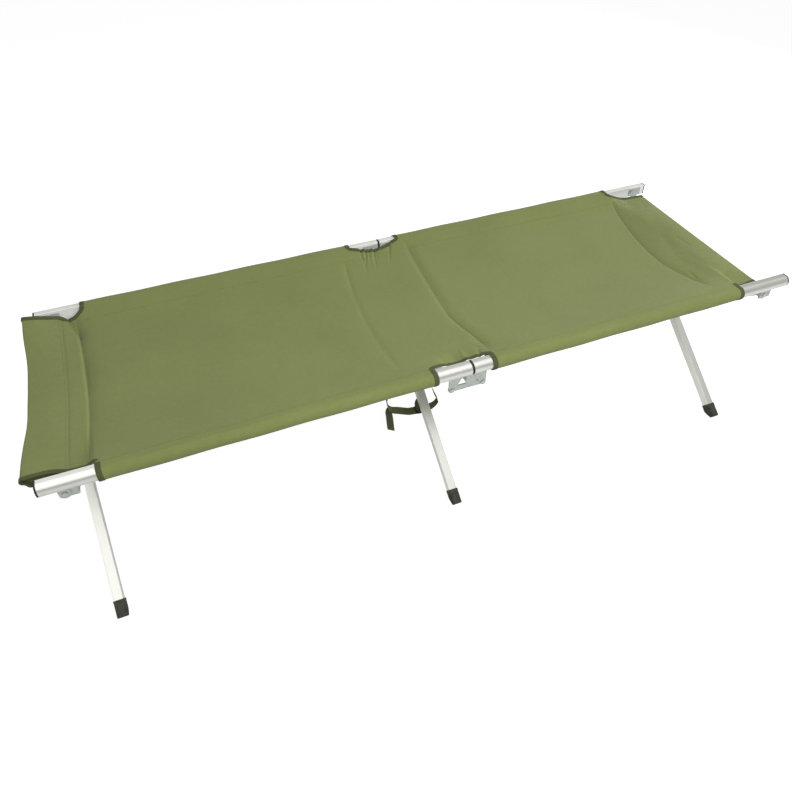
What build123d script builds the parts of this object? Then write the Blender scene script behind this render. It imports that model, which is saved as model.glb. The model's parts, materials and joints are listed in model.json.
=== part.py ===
"""Folding camp cot: two hinged side rails on three pairs of crossed legs, with a sewn canvas bed.

Frame: +X along the bed, +Y from the near rail to the far rail, +Z up, origin on the floor under the
middle of the cot. Millimetres. The near rail is at -Y, the left half at -X.
"""

from build123d import *
import os
from math import hypot, sqrt

SIDES = {"near": -1, "far": 1}
ENDS = {"left": -1, "right": 1}

# Rails: extruded tube, round outside and flat on the inner side
RAIL_LENGTH = 1950.0
RAIL_SPACING = 633.0
RAIL_HEIGHT = 508.0
RAIL_RADIUS = 16.0
RAIL_FLAT = 12.0
RAIL_WALL = 2.0
RAIL_CORNER = 1.5
BAND_WIDTH = 6.0
BAND_GAP = 0.2
PLUG_CAP = 4.0
PLUG_FIT = 0.2
PLUG_CLEAR = 2.0
PLUG_GROOVES = 4
PLUG_GROOVE_WIDTH = 2.0
PLUG_GROOVE_DEPTH = 1.2

# Plate fittings on the flat inner face of the rails, and their clearances
PLATE = 3.0
STIRRUP_PLATE = 2.5
PLATE_GAP = 0.3
PLATE_RISE = 10.0
PLATE_DROP = 13.0
PIN_RADIUS = 4.0
PIN_HEAD_RADIUS = 6.0
PIN_HEAD = 2.5
PIN_SEAT = 0.05
PIN_RUN = 0.1
PIN_OPEN = 0.3
HEAD_GAP = 0.2
RIVET_RADIUS = 2.0
RIVET_HEAD_RADIUS = 4.0
RIVET_HEAD = 1.6
RIVET_TAIL = 1.5
LUG_RIVET_PITCH = 20.0
EYE_RADIUS = 8.0
CHEEK_RADIUS = 12.0
CHEEK_GAP = 0.4

# Legs: square tubes crossed in pairs, with rubber boots
LEG_SIZE = 24.0
LEG_WALL = 1.6
LEG_CORNER = 1.5
LEG_GAP = 1.0
LEG_TOP_CLEAR = 1.5
FOOT_SPREAD = 626.0
SET_INSET = 41.0
BOOT_WALL = 2.0
BOOT_FIT = 0.1
BOOT_LENGTH = 18.0
BOOT_SOLE = 3.0
BOOT_TOE = 6.0
BOOT_RIBS = 5
BOOT_GROOVE_WIDTH = 1.6
BOOT_GROOVE_DEPTH = 0.8
BOLT_RADIUS = 3.0
BOLT_HEAD_RADIUS = 6.0
BOLT_HEAD = 4.0
WASHER_RADIUS = 10.0
WASHER_GAP = 0.15

# Canvas bed, shifted a little towards the left on its rails
COVER_SHIFT = -20.0
COVER_HALF_LENGTH = 836.0
COVER_THICK = 1.4
COVER_SAG = 24.0
SLEEVE_FIT = 0.4
SLEEVE_THICK = 1.2
SLEEVE_OPEN_CLEAR = 4.0
SEAM_GAP = 0.3
NOTCH_DEPTH = 18.0
NOTCH_MARGIN = 2.0
PATCH_HALF_LENGTH = 82.0
PATCH_INSET = 36.0
PATCH_GAP = 0.4
PATCH_LIP = 18.0
PATCH_LIP_DROP = 30.0
FLAP_LENGTH = 118.0
FLAP_DROP = 6.0
FLAP_INSET = 14.0

# Webbing strap with a slide buckle, hanging in a loop about the middle legs
STRAP_WIDTH = 25.0
STRAP_THICK = 2.0
STRAP_GAP = 0.4
STRAP_TOP_HALF = 55.0
STRAP_BEND = 9.0
STRAP_LOOP = [(-103.0, 136.0), (-60.0, 93.0), (38.0, 93.0), (66.0, 86.0)]
STRAP_TAIL = [(-92.0, 125.0), (-101.0, 104.0), (-101.0, 76.0), (-96.0, 36.0)]
BUCKLE_X = 6.0
BUCKLE_LENGTH = 22.0
BUCKLE_RIM = 4.0
BUCKLE_FIT = 0.4

# Fold clearances: how far the swung end legs stay under the rails and off the middle legs
SWING_CLEAR = 2.4
FOLD_CLEAR = 12.0
LINK_ROOM = 7.6

# Places worked out from the sizes above
RAIL_Y = RAIL_SPACING / 2
FACE_Y = RAIL_Y - RAIL_FLAT
BUTT_X = BAND_WIDTH / 2
TUBE_END_X = RAIL_LENGTH / 2 - PLUG_CAP
SET_X = RAIL_LENGTH / 2 - SET_INSET
PLATE_IN = FACE_Y - PLATE
STIRRUP_OUT = PLATE_IN - PLATE_GAP
STIRRUP_IN = STIRRUP_OUT - STIRRUP_PLATE
LINK_IN = STIRRUP_OUT - PLATE
HEAD_IN = STIRRUP_IN - HEAD_GAP - PIN_HEAD
LEG_OFFSET = (LEG_SIZE + LEG_GAP) / 2
BOOT_HALF = LEG_SIZE / 2 + BOOT_WALL
SLEEVE_GROW = SLEEVE_FIT + SLEEVE_THICK
PIN_Y = HEAD_IN - LEG_TOP_CLEAR - LEG_SIZE / 2
SWING_DROP = RAIL_RADIUS + SLEEVE_GROW + LEG_OFFSET + BOOT_HALF + SWING_CLEAR
PIN_Z = RAIL_HEIGHT - SWING_DROP
CHEEK_IN = LEG_SIZE / 2 + CHEEK_GAP
CHEEK_OUT = CHEEK_IN + STIRRUP_PLATE
LINK_HALF = LEG_OFFSET + CHEEK_OUT + LINK_ROOM + EYE_RADIUS
LINK_DROP = SWING_DROP + 2 * (LEG_OFFSET + BOOT_HALF) + FOLD_CLEAR - LINK_HALF
LINK_Z = RAIL_HEIGHT - LINK_DROP
FOOT_Y = FOOT_SPREAD / 2
LEG_REACH = hypot(PIN_Y + FOOT_Y, PIN_Z)
LEG_SIN = PIN_Z / LEG_REACH
LEG_COS = (PIN_Y + FOOT_Y) / LEG_REACH
LEG_LENGTH = LEG_REACH - (BOOT_SOLE + LEG_SIZE / 2 * LEG_COS) / LEG_SIN
CROSSING = PIN_Y / LEG_COS
NOTCH_HALF = LINK_HALF + EYE_RADIUS + abs(COVER_SHIFT) + NOTCH_MARGIN
SLEEVE_IN = FACE_Y - SLEEVE_GROW
BED_EDGE = SLEEVE_IN - SEAM_GAP
BED_TOP = RAIL_HEIGHT + RAIL_RADIUS + SLEEVE_GROW
BED_RADIUS = (BED_EDGE**2 + COVER_SAG**2) / (2 * COVER_SAG)
BED_CENTRE = BED_TOP - COVER_SAG + BED_RADIUS
PATCH_DROP = COVER_THICK + PATCH_GAP
LUG_NEAR = BUTT_X + BAND_GAP + PLATE_GAP
LUG_FAR = LINK_HALF + EYE_RADIUS
HANGER_HALF = CHEEK_OUT + EYE_RADIUS
HANGER_RIVET = HANGER_HALF / 2 + RIVET_RADIUS
TAIL_RADIUS = RIVET_RADIUS + RIVET_TAIL
PLUG_DEPTH = TUBE_END_X - SET_X - HANGER_RIVET - TAIL_RADIUS - PLUG_CLEAR
BUMPER_DEPTH = LINK_HALF - LUG_RIVET_PITCH - TAIL_RADIUS - BUTT_X - PLUG_CLEAR
SETS = {"left": -SET_X, "middle": 0.0, "right": SET_X}

os.makedirs("parts", exist_ok=True)


def save(piece, name):
    """Labels a finished piece and writes its STEP file."""
    piece.label = name
    export_step(piece, f"parts/{name}.step")


def rail_outline(side, x, grow):
    """The rail's section across X, made larger all round by grow."""
    inner = side * (RAIL_Y - RAIL_FLAT - grow)
    top = RAIL_HEIGHT + RAIL_RADIUS + grow
    bottom = RAIL_HEIGHT - RAIL_RADIUS - grow
    crown = side * (RAIL_Y + RAIL_RADIUS + grow)
    with BuildSketch(Plane.YZ.offset(x)) as outline:
        with BuildLine():
            Polyline((side * RAIL_Y, top), (inner, top), (inner, bottom), (side * RAIL_Y, bottom))
            ThreePointArc((side * RAIL_Y, bottom), (crown, RAIL_HEIGHT), (side * RAIL_Y, top))
        make_face()
        flat_corners = outline.vertices().group_by(Axis.X)[0 if side > 0 else -1]
        fillet(flat_corners, RAIL_CORNER)
    return outline.sketch


def layer(side, low, high):
    """The plane of a plate that lies between two distances from the middle, and its thickness."""
    highest = high if side > 0 else -low
    return Plane.XZ.offset(-highest), high - low


def cross_pin(side, x, z, inner, outer, radius):
    """A round bar along Y between two distances from the middle."""
    plane, length = layer(side, inner, outer)
    with BuildPart() as bar:
        with BuildSketch(plane):
            with Locations((x, z)):
                Circle(radius)
        extrude(amount=length)
    return bar.part


def rivet_places(end):
    """The rivets of one rail half: two in its hinge lug and two in its leg hanger."""
    z = RAIL_HEIGHT + (PLATE_RISE - PLATE_DROP) / 2
    places = [LINK_HALF - LUG_RIVET_PITCH, LINK_HALF, SET_X - HANGER_RIVET, SET_X + HANGER_RIVET]
    return [(end * x, z) for x in places]


def rail_half(side, end):
    """Half a rail: a hollow extrusion, drilled for its rivets."""
    start = BUTT_X + (BAND_GAP if end > 0 else 0.0)
    with BuildPart() as rail:
        extrude(rail_outline(side, end * start, 0), amount=end * (TUBE_END_X - start))
        extrude(
            rail_outline(side, end * start, -RAIL_WALL),
            amount=end * (TUBE_END_X - start),
            mode=Mode.SUBTRACT,
        )
        plane, depth = layer(side, FACE_Y, FACE_Y + RAIL_WALL)
        with BuildSketch(plane):
            with Locations(*rivet_places(end)):
                Circle(RIVET_RADIUS + PIN_SEAT)
        extrude(amount=depth, mode=Mode.SUBTRACT)
    return rail.part


def end_plug(side, end):
    """Black plug in the outer end of a rail, with grooves across its face."""
    inset = -RAIL_WALL - PLUG_FIT
    with BuildPart() as plug:
        extrude(rail_outline(side, end * TUBE_END_X, 0), amount=end * PLUG_CAP)
        extrude(rail_outline(side, end * TUBE_END_X, inset), amount=-end * PLUG_DEPTH)
        pitch = 2 * RAIL_RADIUS / (PLUG_GROOVES + 1)
        with BuildSketch(Plane.YZ.offset(end * RAIL_LENGTH / 2)):
            with Locations((side * RAIL_Y, RAIL_HEIGHT)):
                with GridLocations(0, pitch, 1, PLUG_GROOVES):
                    Rectangle(4 * RAIL_RADIUS, PLUG_GROOVE_WIDTH)
        extrude(amount=-end * PLUG_GROOVE_DEPTH, mode=Mode.SUBTRACT)
    return plug.part


def joint_bumper(side):
    """Black band that the two halves of a rail butt against, plugged into the left half."""
    with BuildPart() as bumper:
        extrude(rail_outline(side, -BUTT_X, 0), amount=BAND_WIDTH)
        extrude(rail_outline(side, -BUTT_X, -RAIL_WALL - PLUG_FIT), amount=-BUMPER_DEPTH)
    return bumper.part


def hinge_lug(side, end):
    """Plate on the rail's inner face that reaches down to the centre link's hinge pin."""
    plane, depth = layer(side, PLATE_IN, FACE_Y)
    top = RAIL_HEIGHT + PLATE_RISE
    foot = RAIL_HEIGHT - PLATE_DROP
    with BuildPart() as lug:
        with BuildSketch(plane):
            with BuildLine():
                Polyline(
                    (end * LUG_NEAR, top),
                    (end * LUG_FAR, top),
                    (end * LUG_FAR, LINK_Z),
                    (end * (LINK_HALF - EYE_RADIUS), LINK_Z),
                    (end * LUG_NEAR, foot),
                    close=True,
                )
            make_face()
            with Locations((end * LINK_HALF, LINK_Z)):
                Circle(EYE_RADIUS)
                Circle(PIN_RADIUS + PIN_RUN, mode=Mode.SUBTRACT)
            with Locations(*rivet_places(end)[:2]):
                Circle(RIVET_RADIUS + PIN_SEAT, mode=Mode.SUBTRACT)
        extrude(amount=depth)
    return lug.part


def leg_hanger(side, end):
    """Plate on the rail's inner face with a tongue for the swing bolt of an end leg."""
    plane, depth = layer(side, PLATE_IN, FACE_Y)
    middle = RAIL_HEIGHT + (PLATE_RISE - PLATE_DROP) / 2
    with BuildPart() as hanger:
        with BuildSketch(plane):
            with Locations((end * SET_X, middle)):
                Rectangle(2 * HANGER_HALF, PLATE_RISE + PLATE_DROP)
            with Locations((end * SET_X, (middle + PIN_Z) / 2)):
                Rectangle(2 * CHEEK_RADIUS, middle - PIN_Z)
            with Locations((end * SET_X, PIN_Z)):
                Circle(CHEEK_RADIUS)
                Circle(PIN_RADIUS + PIN_SEAT, mode=Mode.SUBTRACT)
            with Locations(*rivet_places(end)[2:]):
                Circle(RIVET_RADIUS + PIN_SEAT, mode=Mode.SUBTRACT)
        extrude(amount=depth)
    return hanger.part


def rail_fasteners(side, end):
    """The four rivets and the swing bolt of one rail half, as separate solids."""
    wall_in = FACE_Y + RAIL_WALL
    steps = [
        (PLATE_IN - RIVET_HEAD, PLATE_IN, RIVET_HEAD_RADIUS),
        (PLATE_IN, wall_in, RIVET_RADIUS),
        (wall_in, wall_in + RIVET_TAIL, TAIL_RADIUS),
    ]
    bolt_steps = [
        (HEAD_IN, HEAD_IN + PIN_HEAD, PIN_HEAD_RADIUS),
        (HEAD_IN + PIN_HEAD, FACE_Y, PIN_RADIUS),
        (FACE_Y, FACE_Y + PIN_HEAD, PIN_HEAD_RADIUS),
    ]
    with BuildPart() as fasteners:
        for x, z in rivet_places(end):
            for inner, outer, radius in steps:
                add(cross_pin(side, x, z, inner, outer, radius))
        for inner, outer, radius in bolt_steps:
            add(cross_pin(side, end * SET_X, PIN_Z, inner, outer, radius))
    return fasteners.part


def cheeks(side, x_leg, root, window_x):
    """Two ears either side of a leg's top, with the leg pin's holes and room for a bolt head."""
    with BuildPart() as pair:
        for x in (x_leg - CHEEK_OUT, x_leg + CHEEK_IN):
            with BuildSketch(Plane.YZ.offset(x)):
                with Locations((side * (PIN_Y + root) / 2, PIN_Z)):
                    Rectangle(root - PIN_Y, 2 * CHEEK_RADIUS)
                with Locations((side * PIN_Y, PIN_Z)):
                    Circle(CHEEK_RADIUS)
                    Circle(PIN_RADIUS + PIN_SEAT, mode=Mode.SUBTRACT)
            extrude(amount=STIRRUP_PLATE)
        if window_x is not None:
            room = HEAD_IN - HEAD_GAP
            head_room = cross_pin(side, window_x, PIN_Z, room, root, PIN_HEAD_RADIUS + PIN_SEAT + HEAD_GAP)
            add(head_room, mode=Mode.SUBTRACT)
    return pair.part


def leg_x(side, x_set):
    """The X of a leg: near-rail legs stand to the right of their set's middle, far ones to the left."""
    return x_set - side * LEG_OFFSET


def leg_stirrup(side, end):
    """Channel that holds an end leg's top and swings about the hanger's bolt."""
    x_set = end * SET_X
    x_leg = leg_x(side, x_set)
    low = min(x_set - CHEEK_RADIUS, x_leg - CHEEK_OUT)
    high = max(x_set + CHEEK_RADIUS, x_leg + CHEEK_OUT)
    plane, depth = layer(side, STIRRUP_IN, STIRRUP_OUT)
    with BuildPart() as stirrup:
        with BuildSketch(plane) as back:
            with Locations(((low + high) / 2, PIN_Z)):
                Rectangle(high - low, 2 * CHEEK_RADIUS)
            fillet(back.vertices(), RAIL_CORNER)
            with Locations((x_set, PIN_Z)):
                Circle(PIN_RADIUS + PIN_RUN, mode=Mode.SUBTRACT)
        extrude(amount=depth)
        add(cheeks(side, x_leg, STIRRUP_IN, x_set))
    return stirrup.part


def centre_link(side):
    """Bar between the two rail halves' hinge pins that also carries a middle leg's top."""
    x_leg = leg_x(side, SETS["middle"])
    plane, depth = layer(side, LINK_IN, STIRRUP_OUT)
    web_low = LINK_Z - EYE_RADIUS
    web_high = PIN_Z + CHEEK_RADIUS
    with BuildPart() as link:
        with BuildSketch(plane):
            with Locations((0, LINK_Z)):
                Rectangle(2 * LINK_HALF, 2 * EYE_RADIUS)
            with Locations((-LINK_HALF, LINK_Z), (LINK_HALF, LINK_Z)):
                Circle(EYE_RADIUS)
            with Locations((x_leg, (web_low + web_high) / 2)):
                Rectangle(2 * CHEEK_OUT, web_high - web_low)
            with Locations((-LINK_HALF, LINK_Z), (LINK_HALF, LINK_Z)):
                Circle(PIN_RADIUS + PIN_SEAT, mode=Mode.SUBTRACT)
        extrude(amount=depth)
        add(cheeks(side, x_leg, LINK_IN, None))
    return link.part


def leg_pin(side, x_leg):
    """Headed pin along X through a leg's top and the two cheeks around it."""
    spans = [
        (-CHEEK_OUT - PIN_HEAD, -CHEEK_OUT, PIN_HEAD_RADIUS),
        (-CHEEK_OUT, CHEEK_OUT, PIN_RADIUS),
        (CHEEK_OUT, CHEEK_OUT + PIN_HEAD, PIN_HEAD_RADIUS),
    ]
    with BuildPart() as pin:
        for low, high, radius in spans:
            with BuildSketch(Plane.YZ.offset(x_leg + low)):
                with Locations((side * PIN_Y, PIN_Z)):
                    Circle(radius)
            extrude(amount=high - low)
    return pin.part


def centre_link_pins(side):
    """The two hinge pins of a centre link and the pin of its leg, as separate solids."""
    steps = [
        (LINK_IN - PIN_HEAD, LINK_IN, PIN_HEAD_RADIUS),
        (LINK_IN, FACE_Y + HEAD_GAP, PIN_RADIUS),
        (FACE_Y + HEAD_GAP, FACE_Y + HEAD_GAP + PIN_HEAD, PIN_HEAD_RADIUS),
    ]
    with BuildPart() as pins:
        for end in ENDS.values():
            for inner, outer, radius in steps:
                add(cross_pin(side, end * LINK_HALF, LINK_Z, inner, outer, radius))
        add(leg_pin(side, leg_x(side, SETS["middle"])))
    return pins.part


def leg_plane(side, x_set):
    """Plane of a leg: origin at its top pin, local X down the leg, normal along +X."""
    down = (0, -side * LEG_COS, -LEG_SIN)
    return Plane(origin=(leg_x(side, x_set), side * PIN_Y, PIN_Z), x_dir=down, z_dir=(1, 0, 0))


def leg(side, x_set, pin_clearance):
    """Square tube with a rounded top and eased corners, drilled for its top pin and the crossing bolt."""
    plane = leg_plane(side, x_set)
    bore = LEG_SIZE - 2 * LEG_WALL
    with BuildPart() as tube:
        with BuildSketch(plane):
            with Locations((LEG_LENGTH / 2, 0)):
                Rectangle(LEG_LENGTH, LEG_SIZE)
            Circle(LEG_SIZE / 2)
        extrude(amount=LEG_SIZE / 2, both=True)
        # All edges of the two side faces but the lowest of each, which is the cut end
        sides = tube.faces().filter_by(Axis.X)
        fillet(sides.edges().sort_by(Axis.Z)[len(sides):], LEG_CORNER)
        with BuildSketch(plane):
            with Locations((LEG_LENGTH / 2, 0)):
                Rectangle(LEG_LENGTH + 2 * LEG_SIZE, bore)
        extrude(amount=bore / 2, both=True, mode=Mode.SUBTRACT)
        with BuildSketch(plane):
            Circle(PIN_RADIUS + pin_clearance)
            with Locations((CROSSING, 0)):
                Circle(BOLT_RADIUS + PIN_RUN)
        extrude(amount=LEG_SIZE, both=True, mode=Mode.SUBTRACT)
    return tube.part


def foot_boot(side, x_set):
    """Ribbed rubber boot on a leg's end, cut flat where it stands on the floor."""
    plane = leg_plane(side, x_set)
    start = LEG_LENGTH - BOOT_LENGTH
    finish = LEG_REACH + BOOT_TOE
    socket = LEG_SIZE + 2 * BOOT_FIT
    pitch = 2 * BOOT_HALF / (BOOT_RIBS + 1)
    with BuildPart() as boot:
        with BuildSketch(plane):
            with Locations(((start + finish) / 2, 0)):
                Rectangle(finish - start, 2 * BOOT_HALF)
        extrude(amount=BOOT_HALF, both=True)
        with BuildSketch(plane):
            with Locations((LEG_LENGTH / 2, 0)):
                Rectangle(LEG_LENGTH, socket)
        extrude(amount=socket / 2, both=True, mode=Mode.SUBTRACT)
        for face_x in (-BOOT_HALF, BOOT_HALF):
            inward = BOOT_GROOVE_DEPTH if face_x < 0 else -BOOT_GROOVE_DEPTH
            with BuildSketch(plane.offset(face_x)):
                with Locations(((start + finish) / 2, 0)):
                    with GridLocations(0, pitch, 1, BOOT_RIBS):
                        Rectangle(finish - start, BOOT_GROOVE_WIDTH)
            extrude(amount=inward, mode=Mode.SUBTRACT)
        split(bisect_by=Plane.XY, keep=Keep.TOP)
    return boot.part


def cross_bolt(x_set):
    """Bolt through a pair of legs where they cross, with its nut and the washer between the legs."""
    height = PIN_Z - CROSSING * LEG_SIN
    outside = LEG_OFFSET + LEG_SIZE / 2
    with BuildPart() as bolt:
        with BuildSketch(Plane.YZ.offset(x_set - outside - HEAD_GAP)):
            with Locations((0, height)):
                Circle(BOLT_RADIUS)
        extrude(amount=2 * (outside + HEAD_GAP))
        with BuildSketch(Plane.YZ.offset(x_set + outside + HEAD_GAP)):
            with Locations((0, height)):
                Circle(BOLT_HEAD_RADIUS)
        extrude(amount=BOLT_HEAD)
        with BuildSketch(Plane.YZ.offset(x_set - outside - HEAD_GAP)):
            with Locations((0, height)):
                RegularPolygon(BOLT_HEAD_RADIUS, 6)
        extrude(amount=-BOLT_HEAD)
        with BuildSketch(Plane.YZ.offset(x_set)):
            with Locations((0, height)):
                Circle(WASHER_RADIUS)
        extrude(amount=LEG_GAP / 2 - WASHER_GAP, both=True)
    return bolt.part


def canvas_sleeve(side, end):
    """Canvas sleeve around half a rail, open on its inner side wherever it would reach the leg hanger."""
    start = COVER_SHIFT + end * NOTCH_HALF
    length = COVER_HALF_LENGTH - NOTCH_HALF
    open_x = SET_X - HANGER_HALF - SLEEVE_OPEN_CLEAR
    open_top = RAIL_HEIGHT + PLATE_RISE + SLEEVE_OPEN_CLEAR
    open_height = 2 * (RAIL_RADIUS + SLEEVE_GROW)
    plane, depth = layer(side, SLEEVE_IN, FACE_Y)
    with BuildPart() as sleeve:
        extrude(rail_outline(side, start, SLEEVE_GROW), amount=end * length)
        extrude(rail_outline(side, start, SLEEVE_FIT), amount=end * length, mode=Mode.SUBTRACT)
        with BuildSketch(plane):
            with Locations((end * (open_x + RAIL_LENGTH / 2), open_top - open_height / 2)):
                Rectangle(RAIL_LENGTH, open_height)
        extrude(amount=depth, mode=Mode.SUBTRACT)
    return sleeve.part


def bed_height(y, drop):
    """Height of the sagging bed's upper face at a distance from the middle, less a drop."""
    return BED_CENTRE - sqrt(BED_RADIUS**2 - y**2) - drop


def bed_strip(x, half_width, drop):
    """Section of the sagging canvas across X, one canvas thick."""
    low = drop + COVER_THICK
    edge_low = bed_height(half_width, low)
    edge_high = bed_height(half_width, drop)
    with BuildSketch(Plane.YZ.offset(x)) as section:
        with BuildLine():
            ThreePointArc((-half_width, edge_low), (0, bed_height(0, low)), (half_width, edge_low))
            Line((half_width, edge_low), (half_width, edge_high))
            ThreePointArc((half_width, edge_high), (0, bed_height(0, drop)), (-half_width, edge_high))
            Line((-half_width, edge_high), (-half_width, edge_low))
        make_face()
    return section.sketch


def canvas_bed(end):
    """Half of the canvas bed, from the crease at its middle to its end, notched beside the joints."""
    start = COVER_SHIFT + end * SEAM_GAP / 2
    length = COVER_HALF_LENGTH - SEAM_GAP / 2
    with BuildPart() as bed:
        extrude(bed_strip(start, BED_EDGE, 0), amount=end * length)
        with BuildSketch(Plane.XY):
            with Locations((COVER_SHIFT, BED_EDGE), (COVER_SHIFT, -BED_EDGE)):
                Ellipse(NOTCH_HALF, NOTCH_DEPTH)
        extrude(amount=2 * RAIL_HEIGHT, mode=Mode.SUBTRACT)
    return bed.part


def canvas_centre_patch():
    """Second layer of canvas under the middle of the bed, where the strap is sewn on, with drooping ends."""
    half = BED_EDGE - PATCH_INSET
    low = PATCH_DROP + PATCH_LIP_DROP
    with BuildPart() as patch:
        extrude(bed_strip(-PATCH_HALF_LENGTH, half, PATCH_DROP), amount=2 * PATCH_HALF_LENGTH)
        for end in ENDS.values():
            root_x = end * PATCH_HALF_LENGTH
            loft([bed_strip(root_x, half, PATCH_DROP), bed_strip(root_x + end * PATCH_LIP, half, low)])
    return patch.part


def canvas_flap(end):
    """Loose end of the canvas with its empty pocket, drooping past the last pair of legs."""
    root_x = COVER_SHIFT + end * (COVER_HALF_LENGTH + SEAM_GAP)
    half = BED_EDGE - FLAP_INSET
    with BuildPart() as flap:
        loft([bed_strip(root_x, half, 0), bed_strip(root_x + end * FLAP_LENGTH, half, FLAP_DROP)])
    return flap.part


def tie_strap():
    """Webbing loop sewn under the middle of the bed, with its free tail hanging at one side."""
    top = bed_height(0, PATCH_DROP + COVER_THICK + STRAP_GAP) - STRAP_THICK / 2
    left = (COVER_SHIFT - STRAP_TOP_HALF, top)
    right = (COVER_SHIFT + STRAP_TOP_HALF, top)
    with BuildPart() as strap:
        with BuildSketch(Plane.XZ):
            with BuildLine():
                FilletPolyline(left, *STRAP_LOOP, right, radius=STRAP_BEND, close=True)
            trace(line_width=STRAP_THICK)
            with BuildLine():
                FilletPolyline(*STRAP_TAIL, radius=STRAP_BEND)
            trace(line_width=STRAP_THICK)
        extrude(amount=STRAP_WIDTH / 2, both=True)
    return strap.part


def strap_buckle():
    """Slide buckle: a flat ring around the strap's lower run."""
    height = STRAP_LOOP[1][1]
    slot = STRAP_THICK + 2 * BUCKLE_FIT
    with BuildPart() as buckle:
        with BuildSketch(Plane.YZ.offset(BUCKLE_X - BUCKLE_LENGTH / 2)):
            with Locations((0, height)):
                RectangleRounded(STRAP_WIDTH + 2 * BUCKLE_RIM, slot + BUCKLE_RIM, BUCKLE_RIM / 2)
                Rectangle(STRAP_WIDTH + 2 * BUCKLE_FIT, slot, mode=Mode.SUBTRACT)
        extrude(amount=BUCKLE_LENGTH)
    return buckle.part


for side_name, side in SIDES.items():
    save(joint_bumper(side), f"joint_bumper_{side_name}")
    save(centre_link(side), f"centre_link_{side_name}")
    save(centre_link_pins(side), f"centre_link_pins_{side_name}")
    for end_name, end in ENDS.items():
        place = f"{side_name}_{end_name}"
        save(rail_half(side, end), f"rail_{place}")
        save(end_plug(side, end), f"end_plug_{place}")
        save(hinge_lug(side, end), f"hinge_lug_{place}")
        save(leg_hanger(side, end), f"leg_hanger_{place}")
        save(rail_fasteners(side, end), f"rail_fasteners_{place}")
        save(leg_stirrup(side, end), f"leg_stirrup_{place}")
        save(leg_pin(side, leg_x(side, end * SET_X)), f"leg_pin_{place}")
        save(canvas_sleeve(side, end), f"canvas_sleeve_{place}")
    for set_name, x_set in SETS.items():
        open_pivot = side_name == "far" and set_name != "middle"
        save(leg(side, x_set, PIN_OPEN if open_pivot else PIN_RUN), f"leg_{side_name}_{set_name}")
        save(foot_boot(side, x_set), f"foot_boot_{side_name}_{set_name}")

for set_name, x_set in SETS.items():
    save(cross_bolt(x_set), f"cross_bolt_{set_name}")

for end_name, end in ENDS.items():
    save(canvas_bed(end), f"canvas_bed_{end_name}")
    save(canvas_flap(end), f"canvas_flap_{end_name}")

save(canvas_centre_patch(), "canvas_centre_patch")
save(tie_strap(), "tie_strap")
save(strap_buckle(), "strap_buckle")
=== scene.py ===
"""Dresses the folding cot: its canvas cover, webbing strap, rubber boots and the finishes of the frame.

Metres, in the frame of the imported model: +X along the bed, +Y from the near rail to the far rail, +Z up.
"""

import json
import logging
import math
from dataclasses import dataclass, field
from enum import Enum

import bpy
import numpy as np
from mathutils import Matrix, Vector

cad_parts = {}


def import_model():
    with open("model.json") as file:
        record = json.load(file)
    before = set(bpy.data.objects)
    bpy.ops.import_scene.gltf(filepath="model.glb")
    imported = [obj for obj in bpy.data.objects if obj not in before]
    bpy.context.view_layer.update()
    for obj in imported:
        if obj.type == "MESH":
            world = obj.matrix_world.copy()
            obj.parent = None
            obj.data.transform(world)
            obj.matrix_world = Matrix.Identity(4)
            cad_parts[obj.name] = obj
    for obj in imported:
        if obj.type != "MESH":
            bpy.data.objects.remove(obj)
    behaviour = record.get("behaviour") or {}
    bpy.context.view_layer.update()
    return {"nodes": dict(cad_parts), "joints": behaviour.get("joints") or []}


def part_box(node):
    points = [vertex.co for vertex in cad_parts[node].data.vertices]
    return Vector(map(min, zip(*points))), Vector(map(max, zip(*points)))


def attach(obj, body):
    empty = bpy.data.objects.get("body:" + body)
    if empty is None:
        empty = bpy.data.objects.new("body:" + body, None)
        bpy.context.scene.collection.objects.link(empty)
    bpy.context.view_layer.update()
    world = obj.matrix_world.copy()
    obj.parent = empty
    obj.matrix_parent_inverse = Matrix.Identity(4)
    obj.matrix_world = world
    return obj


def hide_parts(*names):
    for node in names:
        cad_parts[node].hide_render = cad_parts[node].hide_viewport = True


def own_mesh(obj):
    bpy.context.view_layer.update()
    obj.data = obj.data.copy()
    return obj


LOG = logging.getLogger("cot")
UV_NAME = "cloth_metres"
SHARP_ANGLE = math.radians(38)
CLOSING_JOINT = "scissor"
VECTOR_SOCKETS = ("Vector", "Normal")
Colour = tuple[int, int, int]
Value = bpy.types.NodeSocket | float | tuple


class Named(Enum):
    """A choice whose name is part of the nodes' names."""

    @property
    def word(self) -> str:
        """The name as the nodes spell it."""
        return self.name.lower()


class Side(Named):
    """A long side of the cot, with the sign of its Y."""

    NEAR = -1
    FAR = 1


class End(Named):
    """A half of the cot, with the sign of its X."""

    LEFT = -1
    RIGHT = 1


class Slot(Enum):
    """Names of the record's material slots for the new pieces."""

    CANVAS = "canvas"
    WEBBING = "webbing"
    BOOT = "boot"
    PLASTIC = "black_plastic"


def ease(t: np.ndarray) -> np.ndarray:
    """Smooth step: t clipped to 0..1, then t * t * (3 - 2 t)."""
    t = np.clip(t, 0.0, 1.0)
    return t * t * (3.0 - 2.0 * t)


def ramp(place: np.ndarray, start: float, length: float) -> np.ndarray:
    """Smooth step from 0 at start to 1 a length further on."""
    return ease((place - start) / length)


def bell(t: np.ndarray) -> np.ndarray:
    """Bell curve exp(-t * t)."""
    return np.exp(-t * t)


def rounded(distance: np.ndarray, bottom: float) -> np.ndarray:
    """A distance whose sharp bottom is rounded off: sqrt(d^2 + b^2) - b."""
    return np.sqrt(distance**2 + bottom**2) - bottom


def squared(wave: np.ndarray, power: float) -> np.ndarray:
    """A sine or cosine pushed out towards a square: sign * |wave|^power."""
    return np.sign(wave) * np.abs(wave) ** power


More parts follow.
